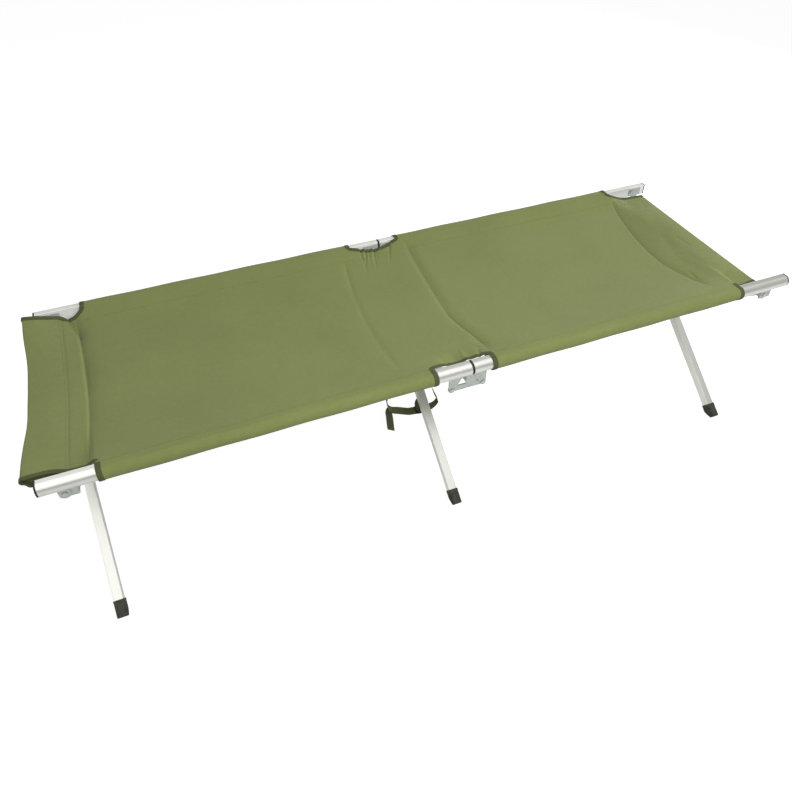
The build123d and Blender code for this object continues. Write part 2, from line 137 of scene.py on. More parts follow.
def unit(vectors: np.ndarray) -> np.ndarray:
    """The vectors scaled to length one along their last axis."""
    return vectors / np.maximum(np.linalg.norm(vectors, axis=-1, keepdims=True), 1e-12)


def lines(start: float, stop: float, step: float, *fine: tuple[float, float]) -> np.ndarray:
    """Places from start to stop, about a step apart and a third of that inside the fine spans.

    Args:
        start: First place.
        stop: Last place.
        step: Wanted distance between places.
        *fine: Spans in which the places lie closer.

    Returns:
        The places in rising order.
    """
    count = max(2, int(round(abs(stop - start) / step)) + 1)
    places = np.linspace(start, stop, count)
    extra = [places]
    for share in (1 / 3, 2 / 3):
        between = places[:-1] + share * np.diff(places)
        for low, high in fine:
            extra.append(between[(between > low) & (between < high)])
    return np.unique(np.concatenate(extra))


def run_length(path: np.ndarray) -> np.ndarray:
    """Distance along a path up to each of its points, as a running sum of its steps."""
    steps = np.linalg.norm(np.diff(path, axis=0), axis=-1)
    return np.concatenate([[0.0], np.cumsum(steps)])


def sampled(places: np.ndarray, along: np.ndarray, values: np.ndarray) -> np.ndarray:
    """Vectors read off at places along a path, each part of them straight between the path's points."""
    return np.stack([np.interp(places, along, part) for part in values.T], -1)


def upward(count: int) -> np.ndarray:
    """That many vectors straight up."""
    return np.tile([0.0, 0.0, 1.0], (count, 1))


def grid_normals(points: np.ndarray) -> np.ndarray:
    """Unit normals of a grid: the gradient along its rows crossed with the one along its columns."""
    return unit(np.cross(np.gradient(points, axis=0), np.gradient(points, axis=1)))


def srgb(colour: Colour) -> tuple[float, float, float]:
    """A display colour of 0..255 as linear light, by the sRGB curve."""
    share = np.array(colour) / 255.0
    linear = np.where(share <= 0.04045, share / 12.92, ((share + 0.055) / 1.055) ** 2.4)
    return tuple(float(x) for x in linear)


def path_frame(path: np.ndarray, normal: np.ndarray, closed: bool = False) -> tuple[np.ndarray, np.ndarray]:
    """Normal and edge along a path: the normal turned square to the tangent, and tangent x normal.

    Args:
        path: Points x 3.
        normal: Points x 3.
        closed: Whether the path's end joins its start.

    Returns:
        Two arrays of unit vectors.
    """
    if closed:
        tangent = unit(np.roll(path, -1, axis=0) - np.roll(path, 1, axis=0))
    else:
        tangent = unit(np.gradient(path, axis=0))
    normal = unit(normal - (normal * tangent).sum(-1, keepdims=True) * tangent)
    return normal, np.cross(tangent, normal)


@dataclass(frozen=True)
class Thread:
    """Sizes of one kind of stitch, and its rings as shares: place along it, girth and lift."""

    pitch: float = 0.0046
    length: float = 0.0036
    radius: float = 0.00038
    sides: int = 5
    rings: tuple = ((-1.0, 0.4, -0.3), (0.0, 1.0, 0.45), (1.0, 0.4, -0.3))


@dataclass
class Surface:
    """Grids, tubes and stitches gathered into one mesh with a UV map in metres."""

    name: str
    points: list[np.ndarray] = field(default_factory=list)
    faces: list[list[int]] = field(default_factory=list)
    corners: list[np.ndarray] = field(default_factory=list)
    count: int = 0

    def grid(self, points: np.ndarray, uv: np.ndarray, wrap: bool = False, caps: bool = False) -> None:
        """Adds a grid whose outward side is (row direction) x (column direction).

        Args:
            points: Rows x columns x 3.
            uv: Rows x columns x 2, with one more column where the columns wrap round.
            wrap: Whether the last column joins the first.
            caps: Whether a wrapped grid's first and last rows are closed by a face.
        """
        rows, columns = points.shape[:2]
        i, j = np.meshgrid(np.arange(rows - 1), np.arange(columns if wrap else columns - 1), indexing="ij")
        k = (j + 1) % columns
        quads = np.stack([i * columns + j, (i + 1) * columns + j, (i + 1) * columns + k, i * columns + k], -1)
        corner = np.stack([uv[i, j], uv[i + 1, j], uv[i + 1, j + 1], uv[i, j + 1]], axis=-2)
        self.faces += (quads.reshape(-1, 4) + self.count).tolist()
        self.corners.append(corner.reshape(-1, 2))
        if caps:
            first = np.arange(columns) + self.count
            last = first[::-1] + (rows - 1) * columns
            self.faces += [first.tolist(), last.tolist()]
            self.corners += [uv[0, :columns], uv[-1, :columns][::-1]]
        self.points.append(points.reshape(-1, 3))
        self.count += rows * columns

    def sweep(self, path: np.ndarray, normal: np.ndarray, profile: np.ndarray, closed: bool = False) -> None:
        """Carries a closed profile along a path.

        A point is path + a * edge + b * normal for each (a, b) of the profile, which runs
        counterclockwise, and edge is the path's tangent crossed with the normal.

        Args:
            path: Points x 3.
            normal: Points x 3, roughly across the path.
            profile: Profile points x 2.
            closed: Whether the path's end joins its start.
        """
        normal, edge = path_frame(path, normal, closed)
        rings = path[:, None] + profile[None, :, :1] * edge[:, None] + profile[None, :, 1:] * normal[:, None]
        round_it = run_length(np.concatenate([profile, profile[:1]]))
        along = run_length(path)
        uv = np.stack(np.meshgrid(along, round_it, indexing="ij"), -1)
        if closed:
            rings = np.concatenate([rings, rings[:1]])
            uv = np.concatenate([uv, uv[:1] + uv[-1:, :, :1] * [[1.0, 0.0]]])
        self.grid(rings, uv, wrap=True, caps=not closed)

    def stitches(self, path: np.ndarray, normal: np.ndarray, thread: Thread) -> None:
        """Adds a row of stitches along a path, each a spindle of a few small rings.

        A ring is spine + girth * (cos * side + sin * up), where side is the path's tangent crossed with up.

        Args:
            path: Points x 3, on the cloth.
            normal: Points x 3, out of the cloth.
            thread: Sizes of the stitches.
        """
        along = run_length(path)
        places = np.arange(thread.pitch / 2, along[-1], thread.pitch)
        centre, up = sampled(places, along, path), unit(sampled(places, along, normal))
        tangent = unit(sampled(places, along, np.gradient(path, axis=0)))
        side = np.cross(tangent, up)
        station, girth, lift = np.array(thread.rings).T
        turn = np.linspace(0, 2 * math.pi, thread.sides, endpoint=False)
        spine = centre[:, None] + station[:, None] * tangent[:, None] * thread.length / 2
        spine = spine + thread.radius * lift[:, None] * up[:, None]
        ring = np.cos(turn)[:, None] * side[:, None, None] + np.sin(turn)[:, None] * up[:, None, None]
        points = spine[:, :, None] + thread.radius * girth[:, None, None] * ring
        number, size = len(places), len(station) * thread.sides
        j = np.arange(thread.sides)
        k = (j + 1) % thread.sides
        belt = np.stack([j, thread.sides + j, thread.sides + k, k], -1)
        quads = np.concatenate([belt + row * thread.sides for row in range(len(station) - 1)])
        ends = np.stack([j, size - thread.sides + j[::-1]])
        starts = self.count + size * np.arange(number)[:, None, None]
        self.faces += (starts + quads).reshape(-1, 4).tolist()
        self.faces += (starts + ends).reshape(-1, thread.sides).tolist()
        self.corners.append(np.zeros((number * (quads.size + ends.size), 2)))
        self.points.append(points.reshape(-1, 3))
        self.count += number * size

    def build(
        self, material: bpy.types.Material, body: str, slot: Slot, thickness: float = 0.0
    ) -> bpy.types.Object:
        """Makes the mesh object and lets it ride on a body.

        Args:
            material: The finish.
            body: The body that carries the piece.
            slot: The record's slot for its finish; not used.
            thickness: Cloth thickness, laid on the inner side.

        Returns:
            The new object.
        """
        mesh = bpy.data.meshes.new(self.name)
        mesh.from_pydata(np.concatenate(self.points).tolist(), [], self.faces)
        layer = mesh.uv_layers.new(name=UV_NAME)
        layer.data.foreach_set("uv", np.concatenate(self.corners).astype(np.float32).ravel())
        mesh.polygons.foreach_set("use_smooth", np.ones(len(mesh.polygons), bool))
        mesh.set_sharp_from_angle(angle=SHARP_ANGLE)
        self.sharpen_rim(mesh)
        mesh.materials.append(material)
        piece = bpy.data.objects.new(self.name, mesh)
        bpy.context.scene.collection.objects.link(piece)
        if thickness:
            cloth = piece.modifiers.new("cloth_thickness", "SOLIDIFY")
            cloth.thickness = thickness
            cloth.offset = -1.0
        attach(piece, body)
        LOG.info("%s on %s, %d faces", self.name, body, len(mesh.polygons))
        return piece

    @staticmethod
    def sharpen_rim(mesh: bpy.types.Mesh) -> None:
        """Marks the open edges of a mesh as sharp, so that a thick sheet's rim doesn't bend its shading."""
        used = np.zeros(len(mesh.loops), dtype=np.int32)
        mesh.loops.foreach_get("edge_index", used)
        sharp = np.zeros(len(mesh.edges), dtype=bool)
        mesh.edges.foreach_get("use_edge_sharp", sharp)
        sharp |= np.bincount(used, minlength=len(mesh.edges)) == 1
        mesh.edges.foreach_set("use_edge_sharp", sharp)


@dataclass(frozen=True)
class CotFrame:
    """Places of the cot's frame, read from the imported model."""

    rail_y: float
    rail_z: float
    rail_radius: float
    face_y: float
    cover_ends: dict[End, float]
    notch_ends: dict[End, float]
    pin_y: float
    pin_z: float
    bolt_z: float
    closing_angle: float

    @classmethod
    def read(cls, joints: list[dict]) -> "CotFrame":
        """Reads the places from the boxes of the nodes and the closing joint's range.

        Args:
            joints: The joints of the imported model.

        Returns:
            The places.
        """
        rail_low, rail_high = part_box("rail_far_left")
        radius = (rail_high.z - rail_low.z) / 2
        left_low, left_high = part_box("canvas_sleeve_far_left")
        right_low, right_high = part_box("canvas_sleeve_far_right")
        pin_low, pin_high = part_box("leg_pin_far_left")
        bolt_low, bolt_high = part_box("cross_bolt_middle")
        closing = next(j for j in joints if j["name"] == CLOSING_JOINT)
        return cls(
            rail_y=rail_high.y - radius,
            rail_z=(rail_high.z + rail_low.z) / 2,
            rail_radius=radius,
            face_y=rail_low.y,
            cover_ends={End.LEFT: left_low.x, End.RIGHT: right_high.x},
            notch_ends={End.LEFT: left_high.x, End.RIGHT: right_low.x},
            pin_y=(pin_low.y + pin_high.y) / 2,
            pin_z=(pin_low.z + pin_high.z) / 2,
            bolt_z=(bolt_low.z + bolt_high.z) / 2,
            closing_angle=math.radians(max(closing["range_deg"])),
        )

    @property
    def middle_x(self) -> float:
        """The X of the crease between the two halves of the cover."""
        return (self.notch_ends[End.LEFT] + self.notch_ends[End.RIGHT]) / 2

    @property
    def leg_angle(self) -> float:
        """The legs' slope above the floor."""
        return math.atan2(self.pin_z - self.bolt_z, self.pin_y)

    @property
    def closing(self) -> float:
        """How much nearer the rails come when the legs close about their crossing bolts."""
        opened = math.cos(self.leg_angle)
        closed = math.cos(self.leg_angle + self.closing_angle)
        return 2 * self.pin_y * (1 - closed / opened)


class Nodes:
    """Adds and links the nodes of one tree."""

    def __init__(self, tree: bpy.types.NodeTree) -> None:
        """Keeps the tree that the nodes go into."""
        self.tree = tree

    def add(self, kind: str, inputs: dict | None = None, **settings: object) -> bpy.types.Node:
        """Adds a node.

        Args:
            kind: The node's type name.
            inputs: Socket name or number to a value, or to an output socket to link.
            **settings: Properties of the node.

        Returns:
            The node.
        """
        node = self.tree.nodes.new(kind)
        for name, value in settings.items():
            setattr(node, name, value)
        for key, value in (inputs or {}).items():
            if isinstance(value, bpy.types.NodeSocket):
                self.tree.links.new(value, node.inputs[key])
            else:
                node.inputs[key].default_value = value
        return node

    def link(self, source: bpy.types.NodeSocket, target: bpy.types.NodeSocket) -> None:
        """Links an output to an input."""
        self.tree.links.new(source, target)

    def place(self, group: bpy.types.NodeTree, **inputs: Value) -> bpy.types.bpy_prop_collection:
        """Places a shared effect with its own values and returns its outputs."""
        return self.add("ShaderNodeGroup", inputs, node_tree=group).outputs

    def math(self, operation: str, *values: Value) -> bpy.types.NodeSocket:
        """Adds a Math node on values or sockets and returns its output."""
        return self.add("ShaderNodeMath", dict(enumerate(values)), operation=operation).outputs[0]

    def scaled(self, vector: Value, factor: Value) -> bpy.types.NodeSocket:
        """Adds a vector scaled by a factor, either of them a value or a socket."""
        inputs = {"Vector": vector, "Scale": factor}
        return self.add("ShaderNodeVectorMath", inputs, operation="SCALE").outputs[0]

    def dot(self, first: Value, second: Value) -> bpy.types.NodeSocket:
        """Adds the dot product of two vectors."""
        node = self.add("ShaderNodeVectorMath", {0: first, 1: second}, operation="DOT_PRODUCT")
        return node.outputs["Value"]

    def spread(self, *limits: Value, **settings: str) -> bpy.types.NodeSocket:
        """Adds a Map Range node on (value, from low, from high, to low, to high) and returns its output."""
        return self.add("ShaderNodeMapRange", dict(enumerate(limits)), **settings).outputs[0]

    def noise(self, vector: Value, scale: Value, detail: float) -> bpy.types.NodeSocket:
        """Adds soft noise and returns its strength."""
        inputs = {"Vector": vector, "Scale": scale, "Detail": detail}
        return self.add("ShaderNodeTexNoise", inputs).outputs[0]

    def mapped(self, vector: Value, scale: tuple, turn: tuple) -> bpy.types.NodeSocket:
        """Adds Mapping nodes that turn and then stretch a pattern, and returns their output."""
        turned = self.add("ShaderNodeMapping", {"Vector": vector, "Rotation": turn}).outputs[0]
        return self.add("ShaderNodeMapping", {"Vector": turned, "Scale": scale}).outputs[0]

    def object_place(self) -> bpy.types.NodeSocket:
        """Adds the place on the object, which stays with the piece as it moves."""
        return self.add("ShaderNodeTexCoord").outputs["Object"]


def new_group(name: str, inputs: tuple[str, ...], outputs: tuple[str, ...]) -> tuple:
    """Starts a shader node group, with vectors where a socket is named so and numbers elsewhere.

    Args:
        name: The group's name.
        inputs: Names of the inputs.
        outputs: Names of the outputs.

    Returns:
        The group, its node helper, its input node's sockets and its output node's sockets.
    """
    group = bpy.data.node_groups.new(name, "ShaderNodeTree")
    for way, sockets in (("INPUT", inputs), ("OUTPUT", outputs)):
        for socket in sockets:
            kind = "NodeSocketVector" if socket in VECTOR_SOCKETS else "NodeSocketFloat"
            group.interface.new_socket(socket, in_out=way, socket_type=kind)
    nodes = Nodes(group)
    return group, nodes, nodes.add("NodeGroupInput").outputs, nodes.add("NodeGroupOutput").inputs


class Effects:
    """The surface effects that several finishes share, each a node group built once."""

    def __init__(self) -> None:
        """Builds the groups."""
        self.weave = self._weave()
        self.ribs = self._ribs()
        self.mottle = self._mottle()
        self.soft_edge = self._soft_edge()
        self.streaks = self._streaks()

    @staticmethod
    def _weave() -> bpy.types.NodeTree:
        """Plain weave: |sin| ridges of warp and weft that swap places on a checker of threads."""
        group, nodes, given, made = new_group("plain_weave", ("Vector", "Threads"), ("Height",))
        counted = nodes.scaled(given["Vector"], given["Threads"])
        axes = nodes.add("ShaderNodeSeparateXYZ", {0: counted}).outputs
        ridge, cell = [], []
        for axis in ("X", "Y"):
            wave = nodes.math("SINE", nodes.math("MULTIPLY", axes[axis], math.pi))
            ridge.append(nodes.math("ABSOLUTE", wave))
            cell.append(nodes.math("FLOOR", axes[axis]))
        over = nodes.math("PINGPONG", nodes.math("ADD", *cell), 1.0)
        warp = nodes.math("MULTIPLY", ridge[0], over)
        weft = nodes.math("MULTIPLY", ridge[1], nodes.math("SUBTRACT", 1.0, over))
        nodes.link(nodes.math("ADD", warp, weft), made["Height"])
        return group

    @staticmethod
    def _ribs() -> bpy.types.NodeTree:
        """Ribs across a tape: |sin| of the length, slanted to and fro across the width as a herringbone."""
        group, nodes, given, made = new_group("tape_ribs", ("Vector", "Ribs", "Bands", "Slant"), ("Height",))
        axes = nodes.add("ShaderNodeSeparateXYZ", {0: given["Vector"]}).outputs
        band = nodes.math("PINGPONG", nodes.math("MULTIPLY", axes["Y"], given["Bands"]), 1.0)
        along = nodes.math("MULTIPLY", axes["X"], given["Ribs"])
        phase = nodes.math("MULTIPLY_ADD", band, given["Slant"], along)
        wave = nodes.math("SINE", nodes.math("MULTIPLY", phase, math.pi))
        nodes.link(nodes.math("ABSOLUTE", wave), made["Height"])
        return group

    @staticmethod
    def _mottle() -> bpy.types.NodeTree:
        """Uneven tone: soft noise spread between a low and a high brightness."""
        group, nodes, given, made = new_group("mottled_tone", ("Vector", "Scale", "Low", "High"), ("Tone",))
        noise = nodes.noise(given["Vector"], given["Scale"], detail=4.0)
        nodes.link(nodes.spread(noise, 0.3, 0.7, given["Low"], given["High"]), made["Tone"])
        return group

    @staticmethod
    def _soft_edge() -> bpy.types.NodeTree:
        """Eased edges: the rounded normal, and a mask of how far it leaves the flat one."""
        group, nodes, given, made = new_group("eased_edges", ("Radius",), ("Normal", "Edge"))
        eased = nodes.add("ShaderNodeBevel", {"Radius": given["Radius"]}, samples=6).outputs[0]
        alike = nodes.dot(eased, nodes.add("ShaderNodeNewGeometry").outputs["Normal"])
        nodes.link(eased, made["Normal"])
        nodes.link(nodes.spread(alike, 1.0, 0.75, 0.0, 1.0), made["Edge"])
        return group

    @staticmethod
    def _streaks() -> bpy.types.NodeTree:
        """Drawn marks: fine noise on a vector that is already stretched along the metal."""
        group, nodes, given, made = new_group("drawn_streaks", ("Vector", "Low", "High"), ("Tone",))
        noise = nodes.noise(given["Vector"], 1.0, detail=3.0)
        nodes.link(nodes.spread(noise, 0.25, 0.75, given["Low"], given["High"]), made["Tone"])
        return group


def start_material(name: str) -> tuple[bpy.types.Material, Nodes, bpy.types.Node]:
    """Makes an empty node material.

    Args:
        name: The material's name.

    Returns:
        The material, its node helper and its Principled BSDF.
    """
    material = bpy.data.materials.new(name)
    material.use_nodes = True
    nodes = Nodes(material.node_tree)
    shader = material.node_tree.nodes["Principled BSDF"]
    return material, nodes, shader


@dataclass(frozen=True)
class ClothFinish:
    """Woven cloth: canvas, tape or webbing, patterned along its own UV map in metres."""

    name: str
    colour: Colour
    threads: float = 0.0
    ribs: float = 0.0
    bands: float = 0.0
    slant: float = 0.0
    depth: float = 0.00012
    tone: tuple[float, float] = (0.95, 1.05)
    fine_tone: tuple[float, float] = (0.97, 1.03)
    tone_scales: tuple[float, float] = (4.5, 95.0)
    between: tuple[float, float] = (0.86, 1.07)
    # Painted shade between the threads and painted light on their crowns: the colour is scaled from the first
    # to the second value as the weave rises.
    bump: float = 0.6
    roughness: float = 0.82
    gloss: float = 0.25
    sheen: float = 0.12
    sheen_roughness: float = 0.5

    def build(self, effects: Effects) -> bpy.types.Material:
        """Builds the material: mottled colour, painted shade between the threads and a little painted light
        on their crowns, and the weave as bump.

        Args:
            effects: The shared effects.

        Returns:
            The material.
        """
        material, nodes, shader = start_material(self.name)
        uv = nodes.add("ShaderNodeUVMap", uv_map=UV_NAME).outputs[0]
        if self.threads:
            weave = nodes.place(effects.weave, Vector=uv, Threads=self.threads)
        else:
            weave = nodes.place(effects.ribs, Vector=uv, Ribs=self.ribs, Bands=self.bands, Slant=self.slant)
        height = weave["Height"]
        place = nodes.object_place()
        tones = [
            nodes.place(effects.mottle, Vector=place, Scale=scale, Low=low, High=high)["Tone"]
            for scale, (low, high) in zip(self.tone_scales, (self.tone, self.fine_tone))
        ]
        # Painted shade: the colour darkens in the weave's hollows and lightens on the thread crowns.
        between = nodes.spread(height, 0.0, 1.0, *self.between)
        colour = nodes.scaled(nodes.scaled(srgb(self.colour), nodes.math("MULTIPLY", *tones)), between)
        nodes.link(colour, shader.inputs["Base Color"])
        inputs = {"Strength": self.bump, "Distance": self.depth, "Height": height}
        nodes.link(nodes.add("ShaderNodeBump", inputs).outputs[0], shader.inputs["Normal"])
        shader.inputs["Roughness"].default_value = self.roughness
        shader.inputs["Specular IOR Level"].default_value = self.gloss
        shader.inputs["Sheen Weight"].default_value = self.sheen
        shader.inputs["Sheen Roughness"].default_value = self.sheen_roughness
        return material


@dataclass(frozen=True)
class MetalFinish:
    """Drawn or plated metal with streaks along one direction, a mottled skin and eased edges."""

    name: str
    colour: Colour
    stretch: tuple[float, float, float]
    turn: tuple[float, float, float] = (0.0, 0.0, 0.0)
    metallic: float = 0.85
    roughness: tuple[float, float] = (0.3, 0.42)
    tone: tuple[float, float] = (0.97, 1.03)
    mottle_scale: float = 30.0
    mottle: tuple[float, float] = (0.98, 1.02)
    edge_radius: float = 0.0006
    edge_gain: float = 0.08

    def build(self, effects: Effects) -> bpy.types.Material:
        """Builds the material: streaked colour and roughness, edges a little brighter.

        Args:
            effects: The shared effects.

        Returns:
            The material.
        """
        material, nodes, shader = start_material(self.name)
        place = nodes.object_place()
        drawn = nodes.mapped(place, self.stretch, self.turn)
        edges = nodes.place(effects.soft_edge, Radius=self.edge_radius)
        tone, rough = (
            nodes.place(effects.streaks, Vector=drawn, Low=low, High=high)["Tone"]
            for low, high in (self.tone, self.roughness)
        )
        low, high = self.mottle
        skin = nodes.place(effects.mottle, Vector=place, Scale=self.mottle_scale, Low=low, High=high)
        tone = nodes.math("MULTIPLY", tone, skin["Tone"])
        tone = nodes.math("MULTIPLY_ADD", edges["Edge"], self.edge_gain, tone)
        nodes.link(nodes.scaled(srgb(self.colour), tone), shader.inputs["Base Color"])
        nodes.link(rough, shader.inputs["Roughness"])
        nodes.link(edges["Normal"], shader.inputs["Normal"])
        shader.inputs["Metallic"].default_value = self.metallic
        return material


@dataclass(frozen=True)
class RubberFinish:
    """Black moulded rubber or plastic: fine grain, dust in a soft mottle and rubbed edges."""

    name: str
    colour: Colour
    dust: tuple[float, float] = (0.8, 1.25)
    dust_scale: float = 55.0
    roughness: tuple[float, float] = (0.5, 0.7)
    rough_scale: float = 70.0
    grain: float = 900.0
    grain_depth: float = 0.00008
    bump: float = 0.35
    edge_radius: float = 0.0007
    edge_gain: float = 0.9

    def build(self, effects: Effects) -> bpy.types.Material:
        """Builds the material: dusty tone, lighter edges and a moulded grain as bump.

        Args:
            effects: The shared effects.

        Returns:
            The material.
        """
        material, nodes, shader = start_material(self.name)
        place = nodes.object_place()
        edges = nodes.place(effects.soft_edge, Radius=self.edge_radius)
        dust, rough, grain = (
            nodes.place(effects.mottle, Vector=place, Scale=scale, Low=low, High=high)["Tone"]
            for scale, (low, high) in (
                (self.dust_scale, self.dust),
                (self.rough_scale, self.roughness),
                (self.grain, (0.0, 1.0)),
            )
        )
        tone = nodes.math("MULTIPLY_ADD", edges["Edge"], self.edge_gain, dust)
        nodes.link(nodes.scaled(srgb(self.colour), tone), shader.inputs["Base Color"])
        nodes.link(rough, shader.inputs["Roughness"])
        inputs = {
            "Strength": self.bump,
            "Distance": self.grain_depth,
            "Height": grain,
            "Normal": edges["Normal"],
        }
        nodes.link(nodes.add("ShaderNodeBump", inputs).outputs[0], shader.inputs["Normal"])
        return material


class Finishes:
    """Every finish of the cot, built once."""

    def __init__(self, cot: CotFrame) -> None:
        """Builds the materials, with the legs' drawing marks along the legs."""
        effects = Effects()
        along_rail = (1.5, 420.0, 420.0)
        along_leg = (420.0, 1.5, 420.0)
        satin = (238, 238, 231)
        self.canvas = ClothFinish("olive_canvas", (128, 136, 82), threads=1150.0).build(effects)
        self.tape = ClothFinish(
            "dark_binding_tape", (84, 88, 58), ribs=900.0, depth=0.0002, tone=(0.88, 1.1), sheen=0.05
        ).build(effects)
        self.thread = ClothFinish("olive_thread", (98, 104, 67), ribs=1600.0, roughness=0.7).build(effects)
        self.webbing = ClothFinish(
            "dark_olive_webbing",
            (96, 100, 70),
            ribs=520.0,
            bands=240.0,
            slant=1.6,
            depth=0.0004,
            tone=(0.85, 1.15),
            sheen=0.06,
        ).build(effects)
        self.rail = MetalFinish("satin_rail", satin, along_rail).build(effects)
        # Painted light: the far rails take a paler, less metallic copy of the satin rail finish, which makes
        # them brighter than the near rails.
        far_rail_painted_light = (246, 247, 242)
        self.rail_far = MetalFinish("satin_rail_far", far_rail_painted_light, along_rail, metallic=0.25).build(effects)
        self.legs = {}
        for side in Side:
            turn = (-side.value * cot.leg_angle, 0.0, 0.0)
            self.legs[side] = MetalFinish(f"satin_leg_{side.word}", satin, along_leg, turn).build(effects)
        self.zinc = MetalFinish(
            "zinc_plate",
            (198, 206, 198),
            (60.0, 60.0, 60.0),
            roughness=(0.34, 0.5),
            tone=(0.92, 1.05),
            mottle_scale=140.0,
            mottle=(0.9, 1.08),
        ).build(effects)
        self.fastener = MetalFinish(
            "bright_fastener", (205, 205, 200), (300.0, 300.0, 300.0), roughness=(0.22, 0.36), edge_gain=0.15
        ).build(effects)
        self.plastic = RubberFinish("black_plastic", (34, 34, 33)).build(effects)
        self.rubber = RubberFinish("boot_rubber", (58, 60, 52), roughness=(0.55, 0.78)).build(effects)


class FrameDressing:
    """Gives the frame's own pieces their finishes."""

    def __init__(self, finishes: Finishes) -> None:
        """Lists which finish each kind of node takes, longest names first."""
        self.by_name = {
            "rail_fasteners": finishes.fastener,
            "centre_link_pins": finishes.fastener,
            "leg_pin": finishes.fastener,
            "cross_bolt": finishes.fastener,
            "leg_hanger": finishes.zinc,
            "leg_stirrup": finishes.zinc,
            "hinge_lug": finishes.zinc,
            "centre_link": finishes.zinc,
            "end_plug": finishes.plastic,
            "joint_bumper": finishes.plastic,
            "leg_near": finishes.legs[Side.NEAR],
            "leg_far": finishes.legs[Side.FAR],
            # The far rails get the paler copy of the satin finish, which is painted light.
            "rail_far": finishes.rail_far,
            "rail": finishes.rail,
        }

    def dress(self, nodes: dict[str, bpy.types.Object]) -> None:
        """Puts the finish of its kind on each node that stays.

        Args:
            nodes: The frame's objects by name.
        """
        for name, node in nodes.items():
            finish = next((f for kind, f in self.by_name.items() if name.startswith(kind)), None)
            if finish is None:
                continue
            if not node.material_slots:
                node.data.materials.append(finish)
            for slot in node.material_slots:
                slot.material = finish
            LOG.info("%s finished as %s", name, finish.name)


def by_side(near: float | tuple, far: float | tuple) -> dict:
    """A dataclass field with one value for each long side."""
    return field(default_factory=lambda: {Side.NEAR: near, Side.FAR: far})


@dataclass(frozen=True)
class Crease:
    """A crease: its depth, how round its bottom is, and its spread before and after its line."""

    depth: float
    bottom: float
    before: float
    after: float

    def share(self, off: np.ndarray) -> np.ndarray:
        """Share of the depth at a distance off the line: exp(-(sqrt(off^2 + b^2) - b) / spread)."""
        return np.exp(-rounded(off, self.bottom) / np.where(off > 0, self.after, self.before))


@dataclass(frozen=True)
class LeftFold:
    """Fold between the bed and its left flap, deeper on the far side, with a pinch at the far corner."""

    crease: Crease = Crease(0.0098, 0.0008, 0.0020, 0.014)
    inset: float = 0.0068
    bow: float = 0.12
    apex_y: float = -0.03
    deeper: tuple[float, float] = (-0.13, 0.16)
    uneven: float = 0.12
    waves: float = 37.0
    rise: float = 0.0050
    rise_length: float = 0.10
    pinch: Crease = Crease(0.0062, 0.0012, 0.005, 0.009)
    pinch_place: tuple[float, float] = (-0.8955, 0.288)
    pinch_way: tuple[float, float] = (0.96, 0.28)
    pinch_from_y: tuple[float, float] = (0.17, 0.05)
    pinch_from_x: tuple[float, float] = (0.80, 0.05)

    def height(self, x: np.ndarray, y: np.ndarray, end_x: float, free: np.ndarray) -> np.ndarray:
        """Height of the fold: a crease on x = end - inset - bow * (y - apex)^2 and a low rise past it.

        Args:
            x: Places along the bed.
            y: Places across it.
            end_x: The bed's left end.
            free: How free the cloth is of the rails, 0 to 1.

        Returns:
            The heights.
        """
        off = x - (end_x - self.inset - self.bow * (y - self.apex_y) ** 2)
        deep = self.crease.depth * (0.5 + 0.5 * ramp(y, *self.deeper))
        deep = deep * (1 + self.uneven * np.sin(self.waves * y))
        z = (self.rise * ease(-off / self.rise_length) - deep * self.crease.share(off)) * free
        (place_x, place_y), (way_x, way_y) = self.pinch_place, self.pinch_way
        pinch = self.pinch.share(way_x * (x - place_x) + way_y * (y - place_y))
        return z - self.pinch.depth * pinch * ramp(y, *self.pinch_from_y) * ramp(-x, *self.pinch_from_x)


@dataclass(frozen=True)
class RightFold:
    """Valley between the bed and its right flap, with a sharp groove along it and a soft wave past it."""

    valley: Crease = Crease(0.0050, 0.0015, 0.28, 0.15)
    groove: Crease = Crease(0.0024, 0.0015, 0.0016, 0.006)
    rise: float = 0.0250
    place: float = 0.738
    apex_y: float = -0.11
    apex_round: float = 0.03
    slant: float = 0.11
    far_bow: float = 0.27
    wave_depth: float = 0.0012
    wave_place: float = 0.075
    wave_sway: float = 0.03
    wave_turns: float = 9.0
    wave_width: float = 0.020

    def height(self, x: np.ndarray, y: np.ndarray, free: np.ndarray) -> np.ndarray:
        """Height of the valley: it leans away to both sides of its apex and bows on the far side.

        Args:
            x: Places along the bed.
            y: Places across it.
            free: How free the cloth is of the rails, 0 to 1.

        Returns:
            The heights.
        """
        d = y - self.apex_y
        line = self.place + self.slant * rounded(d, self.apex_round) + self.far_bow * np.maximum(d, 0) ** 2
        off = x - line
        dip = self.valley.share(off)
        z = np.where(off < 0, -self.valley.depth * dip, self.rise - (self.rise + self.valley.depth) * dip)
        z = z - self.groove.depth * self.groove.share(off)
        past = off - self.wave_place - self.wave_sway * np.sin(self.wave_turns * y)
        return (z - self.wave_depth * bell(past / self.wave_width)) * free


